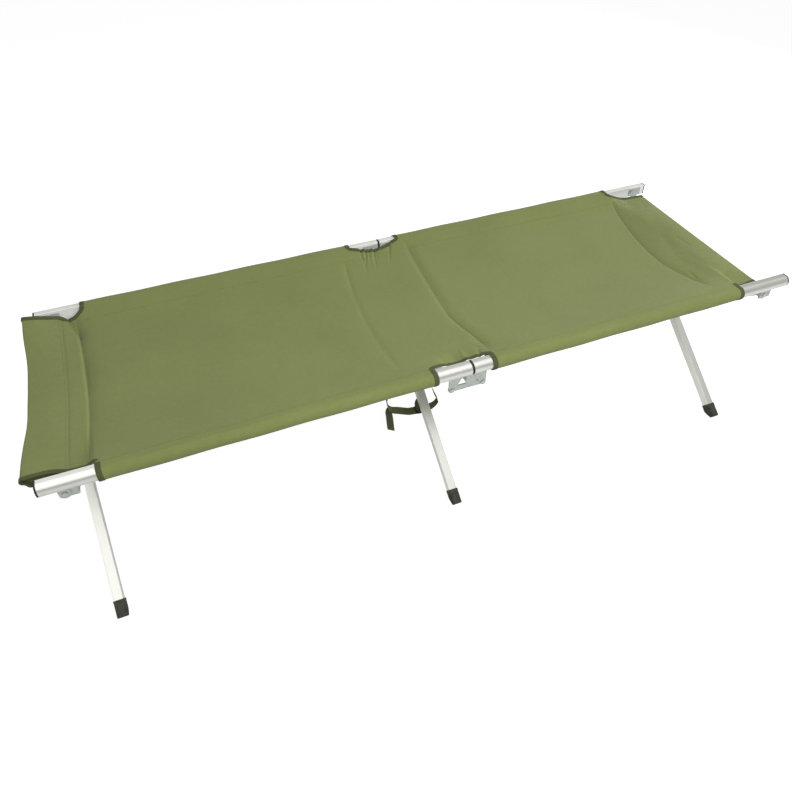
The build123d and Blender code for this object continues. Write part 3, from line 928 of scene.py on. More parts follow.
@dataclass(frozen=True)
class MiddleFolds:
    """The crease across the middle, sharp on its near part, a soft bulge beside it and an older crease."""

    main: Crease = Crease(0.0034, 0.0012, 0.007, 0.014)
    place: float = 0.0545
    slant: float = 0.08
    bend: float = 0.032
    bend_from: tuple[float, float] = (0.06, 0.2)
    fade_from: tuple[float, float] = (0.255, 0.035)
    bulge: float = 0.0010
    bulge_place: float = 0.024
    bulge_width: float = 0.016
    sharp: Crease = Crease(0.0020, 0.0004, 0.0018, 0.0018)
    sharp_from: tuple[float, float] = (0.05, 0.06)
    sharp_to: tuple[float, float] = (-0.270, 0.04)
    old: Crease = Crease(0.0017, 0.001, 0.007, 0.007)
    old_place: float = -0.168
    old_bow: float = 0.258
    old_apex_y: float = -0.15

    def height(self, x: np.ndarray, y: np.ndarray, free: np.ndarray) -> np.ndarray:
        """Height of the folds: the main line leans and bends to the near notch, the old one is a parabola.

        Args:
            x: Places along the bed.
            y: Places across it.
            free: How free the cloth is of the rails, 0 to 1.

        Returns:
            The heights.
        """
        off = x - (self.place + self.slant * y + self.bend * ramp(-y, *self.bend_from))
        z = self.bulge * bell((off - self.bulge_place) / self.bulge_width) * free
        z = z - self.main.depth * self.main.share(off) * (1 - ramp(np.abs(y), *self.fade_from))
        near = ramp(-y, *self.sharp_from) * ramp(y, *self.sharp_to)
        z = z - self.sharp.depth * self.sharp.share(off) * near
        old = x - (self.old_place + self.old_bow * (y - self.old_apex_y) ** 2)
        return z - self.old.depth * self.old.share(old) * free


@dataclass(frozen=True)
class NotchGathers:
    """Gathers that fan out from the notches, the slack edge of the near notch and the far hem's groove.

    A gather is a row of its start, its lean, its depth and its reach.
    """

    rows: dict[Side, tuple] = by_side(
        ((-0.050, -0.20, 0.0018, 0.045), (-0.012, 0.10, 0.0022, 0.045), (0.030, 0.35, 0.0026, 0.045)),
        (
            (-0.066, -0.18, 0.0036, 0.045),
            (-0.050, -0.37, 0.0032, 0.055),
            (-0.040, -0.30, 0.0026, 0.038),
            (-0.025, -0.28, 0.0040, 0.050),
            (-0.017, -0.30, 0.0026, 0.034),
            (0.026, -0.40, 0.0032, 0.045),
        ),
    )
    width: dict[Side, float] = by_side(0.005, 0.0032)
    inset: dict[Side, float] = by_side(0.0, 0.023)
    from_y: tuple[float, float] = (0.1, 0.05)
    slack: float = -0.0105
    slack_lifts: tuple = ((0.0060, -0.004, 0.013), (0.0045, 0.052, 0.015))
    slack_half: float = 0.056
    slack_from: tuple[float, float] = (0.235, 0.055)
    groove: float = 0.0005
    groove_place: float = 0.003
    groove_half: float = 0.005
    pucker: float = 0.5
    pucker_pitch: float = 0.031
    pucker_sway: tuple[float, float] = (1.7, 9.0)

    def height(self, x: np.ndarray, y: np.ndarray, cover: "CanvasCover") -> np.ndarray:
        """Height of the gathers: bells across their lines, which fade with the distance from the notch.

        Args:
            x: Places along the bed.
            y: Places across it.
            cover: The cover that is gathered.

        Returns:
            The heights.
        """
        z = np.zeros(np.broadcast(x, y).shape)
        for side in Side:
            inward = cover.edge_y - self.inset[side] - side.value * y
            begun = ramp(side.value * y, *self.from_y)
            for start, lean, depth, reach in self.rows[side]:
                across = (x - (start + lean * inward)) / self.width[side]
                z = z - depth * bell(across) * bell(inward / reach) * begun
        slack = self.slack + sum(lift * bell((x - place) / half) for lift, place, half in self.slack_lifts)
        slack = slack * bell((x - cover.cot.middle_x) / self.slack_half) ** 2 * ramp(-y, *self.slack_from)
        sway, turns = self.pucker_sway
        pucker = 1 + self.pucker * np.sin(2 * math.pi * x / self.pucker_pitch + sway * np.sin(turns * x))
        from_groove = y - cover.seam_y[Side.FAR] - self.groove_place
        return z + slack - self.groove * pucker * bell(from_groove / self.groove_half)


@dataclass(frozen=True)
class Wrinkles:
    """Fine creases of the cloth, each a row of its two ends and its depth, and low ripples all over.

    A ripple is a row of its height and of two waves' turns along x, along y and phase.
    """

    width: float = 0.0038
    fade: float = 0.35
    rows: tuple = (
        (0.040, -0.204, 0.081, -0.262, 0.0020),
        (0.029, -0.249, 0.070, -0.274, 0.0016),
        (0.060, -0.105, 0.086, -0.098, 0.0012),
        (0.890, -0.210, 0.798, -0.253, 0.0018),
        (0.767, -0.167, 0.756, -0.226, 0.0016),
        (0.744, -0.014, 0.830, -0.022, 0.0010),
        (0.802, 0.043, 0.882, 0.039, 0.0010),
        (0.918, 0.250, 0.890, 0.176, 0.0019),
        (0.825, 0.268, 0.864, 0.229, 0.0019),
        (0.864, 0.019, 0.857, -0.079, 0.0012),
        (0.741, -0.084, 0.846, -0.091, 0.0012),
    )
    ripples: tuple = (
        (0.0010, (5.3, 0.0, 1.1), (0.0, 8.7, 0.6)),
        (0.0005, (19.0, 7.0, 0.0), (-4.0, 13.0, 0.5)),
    )

    def height(self, x: np.ndarray, y: np.ndarray, free: np.ndarray) -> np.ndarray:
        """Height of the ripples and creases.

        A ripple is the product of two sines. A crease is -depth * exp(-(across / width)^2) beside its
        line, and fades out at both ends.

        Args:
            x: Places along the bed.
            y: Places across it.
            free: How free the cloth is of the rails, 0 to 1.

        Returns:
            The heights.
        """
        z = np.zeros(np.broadcast(x, y).shape)
        for high, *waves in self.ripples:
            first, second = (np.sin(by_x * x + by_y * y + phase) for by_x, by_y, phase in waves)
            z = z + high * first * second * free
        for x0, y0, x1, y1, depth in self.rows:
            length = math.hypot(x1 - x0, y1 - y0)
            along = ((x - x0) * (x1 - x0) + (y - y0) * (y1 - y0)) / length**2
            across = ((x - x0) * (y1 - y0) - (y - y0) * (x1 - x0)) / length
            ends = ease(along / self.fade) * ease((1 - along) / self.fade)
            z = z - depth * bell(across / self.width) * ends
        return z


@dataclass
class CanvasCover:
    """The sewn canvas as one shape: heights of the cloth, its folds, and the rules its pieces share."""

    cot: CotFrame
    finishes: Finishes
    seam_y: dict[Side, float] = by_side(0.286, 0.250)
    hem_y: float = 0.230
    kink: float = 0.006
    middle_z: float = 0.4975
    sag: float = 0.011
    wrap: float = 0.0012
    edge_clear: float = 0.0019
    cloth: float = 0.0009
    step: float = 0.005
    tuck: tuple = ((0.0008, 0.0012), (0.003, 0.0030))
    free_from: tuple[float, float] = (0.215, 0.075)
    left_fold: LeftFold = LeftFold()
    right_fold: RightFold = RightFold()
    middle_folds: MiddleFolds = MiddleFolds()
    gathers: NotchGathers = field(default_factory=NotchGathers)
    wrinkles: Wrinkles = Wrinkles()
    tape_width: float = 0.011
    tape_stitch: tuple[float, float] = (0.0026, 0.00105)
    stitch_y: dict[Side, float] = by_side(0.3030, 0.253)
    notch_depth: dict[Side, float] = by_side(0.005, 0.023)
    notch_power: dict[Side, float] = by_side(1.0, 2.6)
    thread: Thread = Thread()

    def __post_init__(self) -> None:
        """Works out the slopes across the bed, so that the cloth meets the top of both rails."""
        rise = self.cot.rail_z + self.cot.rail_radius + self.wrap - self.middle_z
        self.curve = {Side.NEAR: rise / self.cot.face_y**2, Side.FAR: self.sag / self.hem_y**2}
        self.hem_slope = (rise - self.curve[Side.FAR] * self.cot.face_y**2) / self._hem_rise(self.cot.face_y)

    @property
    def edge_y(self) -> float:
        """Where the cover's edge would lie beside the rail."""
        return self.cot.face_y - self.edge_clear

    def _hem_rise(self, y: np.ndarray) -> np.ndarray:
        """Softened ramp that starts at the far hem: kink * log(1 + exp((y - hem) / kink))."""
        return self.kink * np.log1p(np.exp((y - self.hem_y) / self.kink))

    def crown(self, y: np.ndarray) -> np.ndarray:
        """Rise of the cloth from its middle to the rails: a parabola across, steeper at the far hem."""
        curve = np.where(y > 0, self.curve[Side.FAR], self.curve[Side.NEAR])
        return curve * y**2 + self.hem_slope * self._hem_rise(y)

    def height(self, x: np.ndarray, y: np.ndarray) -> np.ndarray:
        """Height of the cloth: its middle, the rise across it, and the folds, which fade out to the rails.

        Args:
            x: Places along the bed.
            y: Places across it.

        Returns:
            The heights.
        """
        free = 1 - ramp(np.abs(y), *self.free_from)
        folds = self.left_fold.height(x, y, self.cot.cover_ends[End.LEFT], free)
        folds = folds + self.right_fold.height(x, y, free) + self.middle_folds.height(x, y, free)
        folds = folds + self.gathers.height(x, y, self) + self.wrinkles.height(x, y, free)
        return self.middle_z + self.crown(y) + folds

    def tucked(self, points: np.ndarray, row: int, away: np.ndarray) -> np.ndarray:
        """Adds rows past the first or last row of a grid that dive under the neighbouring cloth.

        Args:
            points: The grid.
            row: 0 or -1, the row to go on from.
            away: Direction in which the grid goes on.

        Returns:
            The longer grid.
        """
        extra = [points[row] + out * away - [0.0, 0.0, down] for out, down in self.tuck]
        if row == 0:
            return np.concatenate([np.stack(extra[::-1]), points])
        return np.concatenate([points, np.stack(extra)])

    def crumple(self, piece: bpy.types.Object, still_y: float | None = None) -> None:
        """Gives a soft piece its own copy of its mesh.

        Args:
            piece: The piece.
            still_y: The Y that keeps its place, or None for the near seam; not used.
        """
        still_y = -self.seam_y[Side.NEAR] if still_y is None else still_y
        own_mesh(piece)

    def tape_profile(self, under: float) -> np.ndarray:
        """Section of the folded binding tape over a cut edge, with its depth under the cloth."""
        w = self.tape_width
        return np.array(
            [
                (-w, -under),
                (0.0004, -under),
                (0.0013, -0.0003),
                (0.0011, 0.0006),
                (-0.0002, 0.0011),
                (-w + 0.0008, 0.0010),
                (-w, 0.0003),
            ]
        )

    def bind(
        self, tape: Surface, thread: Surface, path: np.ndarray, normal: np.ndarray, off: tuple, under: float
    ) -> None:
        """Lays binding tape over a cut edge and stitches it down.

        Args:
            tape: Takes the tape.
            thread: Takes the stitches.
            path: The cut edge, points x 3.
            normal: Out of the cloth, points x 3.
            off: Main direction off the cloth along the path.
            under: Depth of the tape under the cloth's upper face.
        """
        if (path_frame(path, normal)[1] @ np.array(off)).sum() < 0:
            path, normal = path[::-1], normal[::-1]
        square, edge = path_frame(path, normal)
        tape.sweep(path, normal, self.tape_profile(under))
        inset, lift = self.tape_stitch
        thread.stitches(path - edge * (self.tape_width - inset) + square * lift, square, self.thread)

    def finish_trim(self, tape: Surface, thread: Surface, body: str, soft: bool) -> list[bpy.types.Object]:
        """Builds a cover piece's tape and stitches.

        Args:
            tape: The binding tape.
            thread: The stitches.
            body: The body that carries them.
            soft: Whether their meshes are made their own, as for the bed's soft pieces.

        Returns:
            The two objects.
        """
        pieces = [
            tape.build(self.finishes.tape, body, Slot.CANVAS),
            thread.build(self.finishes.thread, body, Slot.CANVAS),
        ]
        if soft:
            for piece in pieces:
                self.crumple(piece)
        return pieces


@dataclass
class BedHalf:
    """Half of the bed between the two hem seams."""

    cover: CanvasCover
    end: End
    fine_middle: tuple[float, float] = (-0.14, 0.10)
    fine_ends: tuple[float, float] = (0.05, 0.13)
    fine_across: tuple = ((-0.30, -0.25), (0.19, 0.26))

    def build(self) -> bpy.types.Object:
        """Makes the half: a grid at height(x, y) that dives under the hems, the flap and its other half.

        Returns:
            The bed half.
        """
        cover, cot = self.cover, self.cover.cot
        low, high = sorted((cot.middle_x, cot.cover_ends[self.end]))
        first, last = self.fine_ends
        x = lines(low, high, cover.step, self.fine_middle, (low, low + first), (high - last, high))
        y = lines(-cover.seam_y[Side.NEAR], cover.seam_y[Side.FAR], cover.step, *self.fine_across)
        xx, yy = np.meshgrid(x, y, indexing="ij")
        points = np.stack([xx, yy, cover.height(xx, yy)], -1)
        outer, inner = (0, -1) if self.end is End.LEFT else (-1, 0)
        points = cover.tucked(points, outer, np.array([float(self.end.value), 0, 0]))
        if self.end is End.LEFT:
            points = cover.tucked(points, inner, np.array([1.0, 0, 0]))
        points = np.swapaxes(points, 0, 1)
        points = cover.tucked(points, 0, np.array([0, -1.0, 0]))
        points = np.swapaxes(cover.tucked(points, -1, np.array([0, 1.0, 0])), 0, 1)
        word = self.end.word
        surface = Surface(f"bed_canvas_{word}")
        surface.grid(points, points[..., :2])
        piece = surface.build(cover.finishes.canvas, f"near_{word}_rail", Slot.CANVAS, cover.cloth)
        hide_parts(f"canvas_bed_{word}")
        cover.crumple(piece)
        return piece


@dataclass
class RailSleeve:
    """Canvas sleeve on half a rail, with its hem, the tongue beside the notch, its tape and its stitches."""

    cover: CanvasCover
    side: Side
    end: End
    droop: float = 0.0012
    slack: float = 0.0005
    slack_wave: tuple[float, float] = (31.0, 1.3)
    hem_step: float = 0.0035
    belly: float = 0.0035
    seam_lap: float = 0.008
    seam_layers: float = 3.0
    face_clear: float = 0.001
    fine_end: float = 0.02
    tape_under: float = 0.75
    flat_points: int = 4
    turn_points: int = 26
    back_points: int = 16
    tongue_points: tuple[int, int] = (40, 14)

    def section(self, x: np.ndarray) -> tuple[np.ndarray, int]:
        """Section of the sleeve: along the hem, over and round the rail, and back under to the seam.

        The round part is rail axis + r * (cos, sin), where r is the rail's radius and the cloth, plus a
        droop * ((1 - sin) / 2)^2 under the rail. The lower layer is a straight line with a belly of sin.

        Args:
            x: Places along the rail.

        Returns:
            Places x section points x 3, and the number of points along the hem.
        """
        cover, cot, s = self.cover, self.cover.cot, self.side.value
        turns, phase = self.slack_wave
        slack = self.slack * (1 + np.sin(turns * x + phase * s))[:, None]
        radius = cot.rail_radius + cover.wrap
        seam = cover.seam_y[self.side]
        hem = lines(seam, cot.face_y, self.hem_step)
        flat = np.linspace(cot.face_y, cot.rail_y, self.flat_points)[1:]
        turn = np.linspace(math.pi / 2, -math.pi / 2, self.turn_points)[1:]
        back = np.linspace(0, 1, self.back_points)
        inner_y = seam - self.seam_lap
        tops = cover.height(x[:, None], s * hem[None])
        rail_top = np.full((len(x), len(flat)), cot.rail_z + radius)
        loose = radius + slack + self.droop * (0.5 - 0.5 * np.sin(turn)) ** 2
        round_y = cot.rail_y + loose * np.cos(turn)
        round_z = cot.rail_z + loose * np.sin(turn)
        seam_z = cover.height(x, np.full_like(x, s * inner_y))[:, None] - self.seam_layers * cover.cloth
        bottom = cot.rail_z - radius - slack - self.droop
        bottom_y = cot.face_y + self.face_clear
        back_y = bottom_y + (inner_y - bottom_y) * back
        back_z = bottom + (seam_z - bottom) * back - self.belly * np.sin(math.pi * back)
        rows = np.ones((len(x), 1))
        a = np.concatenate([rows * hem, rows * flat, round_y, rows * back_y], axis=1)
        z = np.concatenate([tops, rail_top, round_z, back_z], axis=1)
        return np.stack([np.broadcast_to(x[:, None], a.shape), s * a, z], -1), len(hem)

    def tongue(self) -> np.ndarray:
        """Hem between the sleeve's inner end and the middle, cut back by depth * sin(turn)^power.

        Returns:
            Grid from the sleeve's end to the middle, and from the seam to the cut edge.
        """
        cover, cot = self.cover, self.cover.cot
        along, over = self.tongue_points
        turn = np.linspace(0, math.pi / 2, along)[:, None]
        start = cot.notch_ends[self.end]
        x = start - (start - cot.middle_x) * (1 - np.cos(turn))
        cut = cover.edge_y - cover.notch_depth[self.side] * np.sin(turn) ** cover.notch_power[self.side]
        seam = cover.seam_y[self.side]
        a = seam + np.linspace(0, 1, over)[None] * (cut - seam)
        y = self.side.value * a
        x = np.broadcast_to(x, a.shape)
        return np.stack([x, y, cover.height(x, y)], -1)

    def build(self) -> bpy.types.Object:
        """Makes the sleeve.

        Returns:
            The sleeve.
        """
        cover, cot, end = self.cover, self.cover.cot, self.end
        low, high = sorted((cot.notch_ends[end], cot.cover_ends[end]))
        name = f"{self.side.word}_{end.word}"
        fine = ((low, low + self.fine_end), (high - self.fine_end, high))
        tube, hem_count = self.section(lines(low, high, cover.step, *fine))
        tongue = self.tongue()
        inner, outer = (-1, 0) if end is End.LEFT else (0, -1)
        surface = Surface(f"rail_sleeve_{name}")
        tape, thread = Surface(f"sleeve_tape_{name}"), Surface(f"sleeve_stitches_{name}")
        out = np.array([float(end.value), 0, 0])
        hem_end = cover.tucked(tube[[outer, outer], :hem_count], -1, out)[1:]
        if end is End.LEFT:
            middle_end = cover.tucked(tongue[[-1, -1]], -1, -out)[1:]
            parts = [tube, tongue, middle_end, hem_end[::-1]]
        else:
            parts = [tube, tongue[::-1], hem_end]
        order = slice(None, None, self.side.value)
        for part in parts:
            part = part[order]
            across = np.stack([run_length(section) for section in part])
            surface.grid(part, np.stack([part[:, :, 0], across + cover.seam_y[self.side]], -1))
        normals = grid_normals(tube[order])[order]
        flip = slice(None, None, 1 if end is End.LEFT else -1)
        tongue_n = grid_normals(tongue[flip][order])[order][flip]
        rim = hem_count - 1
        cut = np.concatenate([tube[inner, :rim:-1], tongue[:, -1]])
        cut_n = np.concatenate([normals[inner, :rim:-1], tongue_n[:, -1]])
        under = self.tape_under * cover.cloth
        cover.bind(tape, thread, cut, cut_n, -out, under)
        cover.bind(tape, thread, tube[outer, : rim - 1 : -1], normals[outer, : rim - 1 : -1], out, under)
        seam_x = lines(min(low, cot.middle_x), max(high, cot.middle_x), cover.step)
        if self.side is Side.NEAR:
            seam_x = seam_x[(seam_x > low) & (seam_x < high)]
        seam_y = np.full_like(seam_x, self.side.value * cover.stitch_y[self.side])
        row = np.stack([seam_x, seam_y, cover.height(seam_x, seam_y)], -1)
        thread.stitches(row, upward(len(row)), cover.thread)
        body = f"{name}_rail"
        trim = cover.finish_trim(tape, thread, body, soft=False)
        piece = surface.build(cover.finishes.canvas, body, Slot.CANVAS, cover.cloth)
        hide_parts(f"canvas_sleeve_{name}")
        return piece


@dataclass(frozen=True)
class FlapSide:
    """How one side of a flap runs: its half width, its lower layer, and its dip and rise on the way out."""

    half: float
    step: float
    turn: tuple[float, float]
    grow: float
    corner: float
    dip: float
    dip_length: float
    relax: float = 0.0
    relax_length: float = 0.8
    rise: float = 0.0
    rise_from: tuple[float, float] = (0.35, 0.65)
    lower: float = 0.0

    def width(self, t: np.ndarray, lower: np.ndarray | float) -> np.ndarray:
        """Half width: half + step * ease((t - turn) / length) + grow * t + lower for the lower layer."""
        return self.half + self.step * ramp(t, *self.turn) + self.grow * t + self.lower * lower

    def lift(self, t: np.ndarray) -> np.ndarray:
        """Height of the side: an eased rise further out, less an eased dip that relaxes again."""
        relaxed = 1 - self.relax * ramp(t, self.dip_length, self.relax_length)
        return self.rise * ramp(t, *self.rise_from) - self.dip * ease(t / self.dip_length) * relaxed


@dataclass
class EndFlap:
    """Loose end of the cover, folded back into an empty pocket that a double row of stitches closes."""

    cover: CanvasCover
    end: End
    reach: float
    bow: float
    skew: float
    near: FlapSide
    far: FlapSide
    wave: float
    mouth: float = 0.0
    taut: tuple | None = None
    groove: float = 0.0007
    thread: Thread = Thread()
    pocket: float = 0.078
    fold: float = 0.0032
    bow_from: tuple[float, float] = (0.25, 0.6)
    side_from: tuple[float, float] = (0.5, 0.5)
    waves: tuple = ((1.0, 0.9, 0.2), (0.5, 2.3, 0.6))
    crimp: float = 0.0005
    crimp_turns: tuple[float, float, float] = (13.0, 0.8, 5.0)
    crimp_from: tuple[float, float] = (0.3, 0.15)
    crimp_end: float = 1.1
    groove_past: float = 0.004
    groove_half: float = 0.0045
    groove_from: float = 0.1
    taut_power: float = 1.5
    columns: int = 141
    out_step: float = 0.024
    out_fine: tuple[float, float] = (0.0, 0.25)
    mouth_from: tuple[float, float] = (0.45, 0.55)
    layer_gap: float = 0.0016
    lower_rise: float = 0.15
    lower_fall: tuple[float, float] = (0.7, 0.3)
    belly: tuple[float, float] = (0.003, 0.003)
    belly_from: tuple[float, float] = (0.6, 0.4)
    tape_under: float = 1.9
    stitch_reach: float = 0.985
    stitch_points: int = 120
    stitch_rows: tuple[float, float] = (0.0, 0.0085)

    def point(self, t: np.ndarray, v: np.ndarray, lower: np.ndarray | float = 0.0) -> np.ndarray:
        """The cloth at a share t of the way out and a share v across.

        The flap starts on the bed's own height; its sides dip and rise as FlapSide says, which fades
        out towards the middle, and low waves grow with t. A taut flap nears a straight line between two
        heights at its outer edge. The sides leave the sleeves along a quarter ellipse.

        Args:
            t: Share of the way out, 0 to 1.
            v: Share across, -1 near to 1 far.
            lower: Share of the lower layer's extra width.

        Returns:
            The points.
        """
        cover = self.cover
        out = t * (self.reach + self.skew * v + self.bow * ramp(np.abs(v), *self.bow_from))
        x = cover.cot.cover_ends[self.end] + self.end.value * out
        near_corner = np.clip(1 - out / np.where(v > 0, self.far.corner, self.near.corner), 0, 1)
        half = np.where(v > 0, self.far.width(t, lower), self.near.width(t, lower))
        half = half + (cover.edge_y - half) * (1 - np.sqrt(1 - near_corner**2))
        y = v * half
        lift = np.where(v > 0, self.far.lift(t), self.near.lift(t)) * ramp(np.abs(v), *self.side_from)
        wavy = sum(share * np.sin(2 * math.pi * (turns * v + phase)) for share, turns, phase in self.waves)
        turns, sway, sway_turns = self.crimp_turns
        crimp = np.sin(2 * math.pi * (turns * v + sway * np.sin(sway_turns * v)))
        crimp = crimp * ramp(t, *self.crimp_from) * (self.crimp_end - t)
        z = cover.height(x, y) + lift + self.wave * t * wavy + self.crimp * crimp
        row = self.reach - self.pocket - self.groove_past
        z = z - self.groove * bell((t * self.reach - row) / self.groove_half) * ease(t / self.groove_from)
        if self.taut:
            edge_z = np.interp(y, (-cover.edge_y, cover.edge_y), self.taut)
            z = z + (edge_z - z) * t**self.taut_power
        return np.stack([x, y, z], -1)

    def sheet_grid(self) -> tuple[np.ndarray, np.ndarray]:
        """The folded sheet: out over the top, round the fold and back under to the stitches.

        Returns:
            The grid of rows across and columns along the sheet, and its UV map.
        """
        v = np.linspace(-1, 1, self.columns)[:, None]
        out = lines(0, 1, self.out_step, self.out_fine)
        turn = np.linspace(0, math.pi, 8)[1:-1]
        back = np.linspace(1, 1 - self.pocket / self.reach, 20)
        share = (1 - back) / (1 - back[-1])
        t = np.concatenate([out, np.ones_like(turn), back])[None]
        fold = self.fold + self.mouth * ramp(-v, *self.mouth_from)
        past = fold * np.concatenate([0 * out, np.sin(turn), 0 * back])
        low = fold * np.concatenate([0 * out, 1 - np.cos(turn), 2 * (1 - ease(share))])
        low = low + self.layer_gap * np.concatenate([0 * out, 0 * turn, ease(share)])
        belly = np.concatenate([0 * out, 0 * turn, np.sin(math.pi * share)])
        wider = ease(share / self.lower_rise) * (1 - ramp(share, *self.lower_fall))
        lower = np.concatenate([0 * out, 0 * turn, wider])
        points = self.point(t, v, lower[None])
        points[..., 0] += self.end.value * past
        points[..., 2] -= low + belly * (self.belly[0] + self.belly[1] * ramp(np.abs(v), *self.belly_from))
        along = np.stack([run_length(row) for row in points])
        return points, np.stack([along, np.broadcast_to(points[..., 1], along.shape)], -1)

    def build(self) -> bpy.types.Object:
        """Makes the flap with its tape and stitches.

        Returns:
            The flap.
        """
        cover, word = self.cover, self.end.word
        points, uv = self.sheet_grid()
        order = slice(None, None, -self.end.value)
        surface = Surface(f"end_flap_{word}")
        tape, thread = Surface(f"flap_tape_{word}"), Surface(f"flap_stitches_{word}")
        surface.grid(points[order], uv[order])
        normals = grid_normals(points[order])[order]
        for row, outward in ((0, -1.0), (-1, 1.0)):
            off = (0.0, outward, 0.0)
            cover.bind(tape, thread, points[row], normals[row], off, self.tape_under * cover.cloth)
        across = np.linspace(-self.stitch_reach, self.stitch_reach, self.stitch_points)
        for offset in self.stitch_rows:
            share = 1 - (self.pocket + offset) / self.reach
            row = self.point(np.full_like(across, share), across)
            thread.stitches(row, upward(len(row)), self.thread)
        body = f"near_{word}_rail"
        trim = cover.finish_trim(tape, thread, body, soft=True)
        piece = surface.build(cover.finishes.canvas, body, Slot.CANVAS, cover.cloth)
        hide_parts(f"canvas_flap_{word}")
        cover.crumple(piece)
        return piece


@dataclass
class CentrePatch:
    """Second layer of canvas under the middle of the bed, with drooping ends that cover the fold."""

    cover: CanvasCover
    gap: float = 0.0014
    lip: float = 0.026
    droop: float = 0.040
    spare: float = 0.3
    ripple: float = 0.0012
    ripple_turns: float = 24.0
    grid: tuple[int, int] = (61, 81)

    def build(self) -> bpy.types.Object:
        """Makes the patch: the bed's height less a gap, bent down at both ends along a quarter ellipse.

        The bent ends grow with the bed's rise towards the rails, so that their rims follow the edges of
        the folded bed.

        Returns:
            The patch.
        """
        low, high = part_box("canvas_centre_patch")
        half_x, half_y = (high.x - low.x) / 2, (high.y - low.y) / 2
        flat_x = half_x - self.lip
        along, across = self.grid
        s = np.linspace(-1, 1, along)[:, None] * (half_x + self.spare * self.lip)
        y = np.linspace(-half_y, half_y, across)[None]
        past = np.clip((np.abs(s) - flat_x) / ((1 + self.spare) * self.lip), 0, 1)
        rise = self.cover.crown(y)
        x = np.sign(s) * (np.minimum(np.abs(s), flat_x) + (self.lip + rise) * np.sin(past * math.pi / 2))
        x, y = np.broadcast_arrays(x, y)
        z = self.cover.height(np.clip(x, -flat_x, flat_x), y) - self.cover.cloth - self.gap
        z = z - (self.droop + rise) * (1 - np.cos(past * math.pi / 2))
        z = z + self.ripple * np.sin(self.ripple_turns * y) * past
        points = np.stack([x, y, z], -1)
        surface = Surface("bed_patch")
        surface.grid(points, np.stack([np.broadcast_to(s, x.shape), y], -1))
        piece = surface.build(self.cover.finishes.canvas, "near_centre", Slot.CANVAS, self.cover.cloth)
        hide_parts("canvas_centre_patch")
        self.cover.crumple(piece)
        return piece


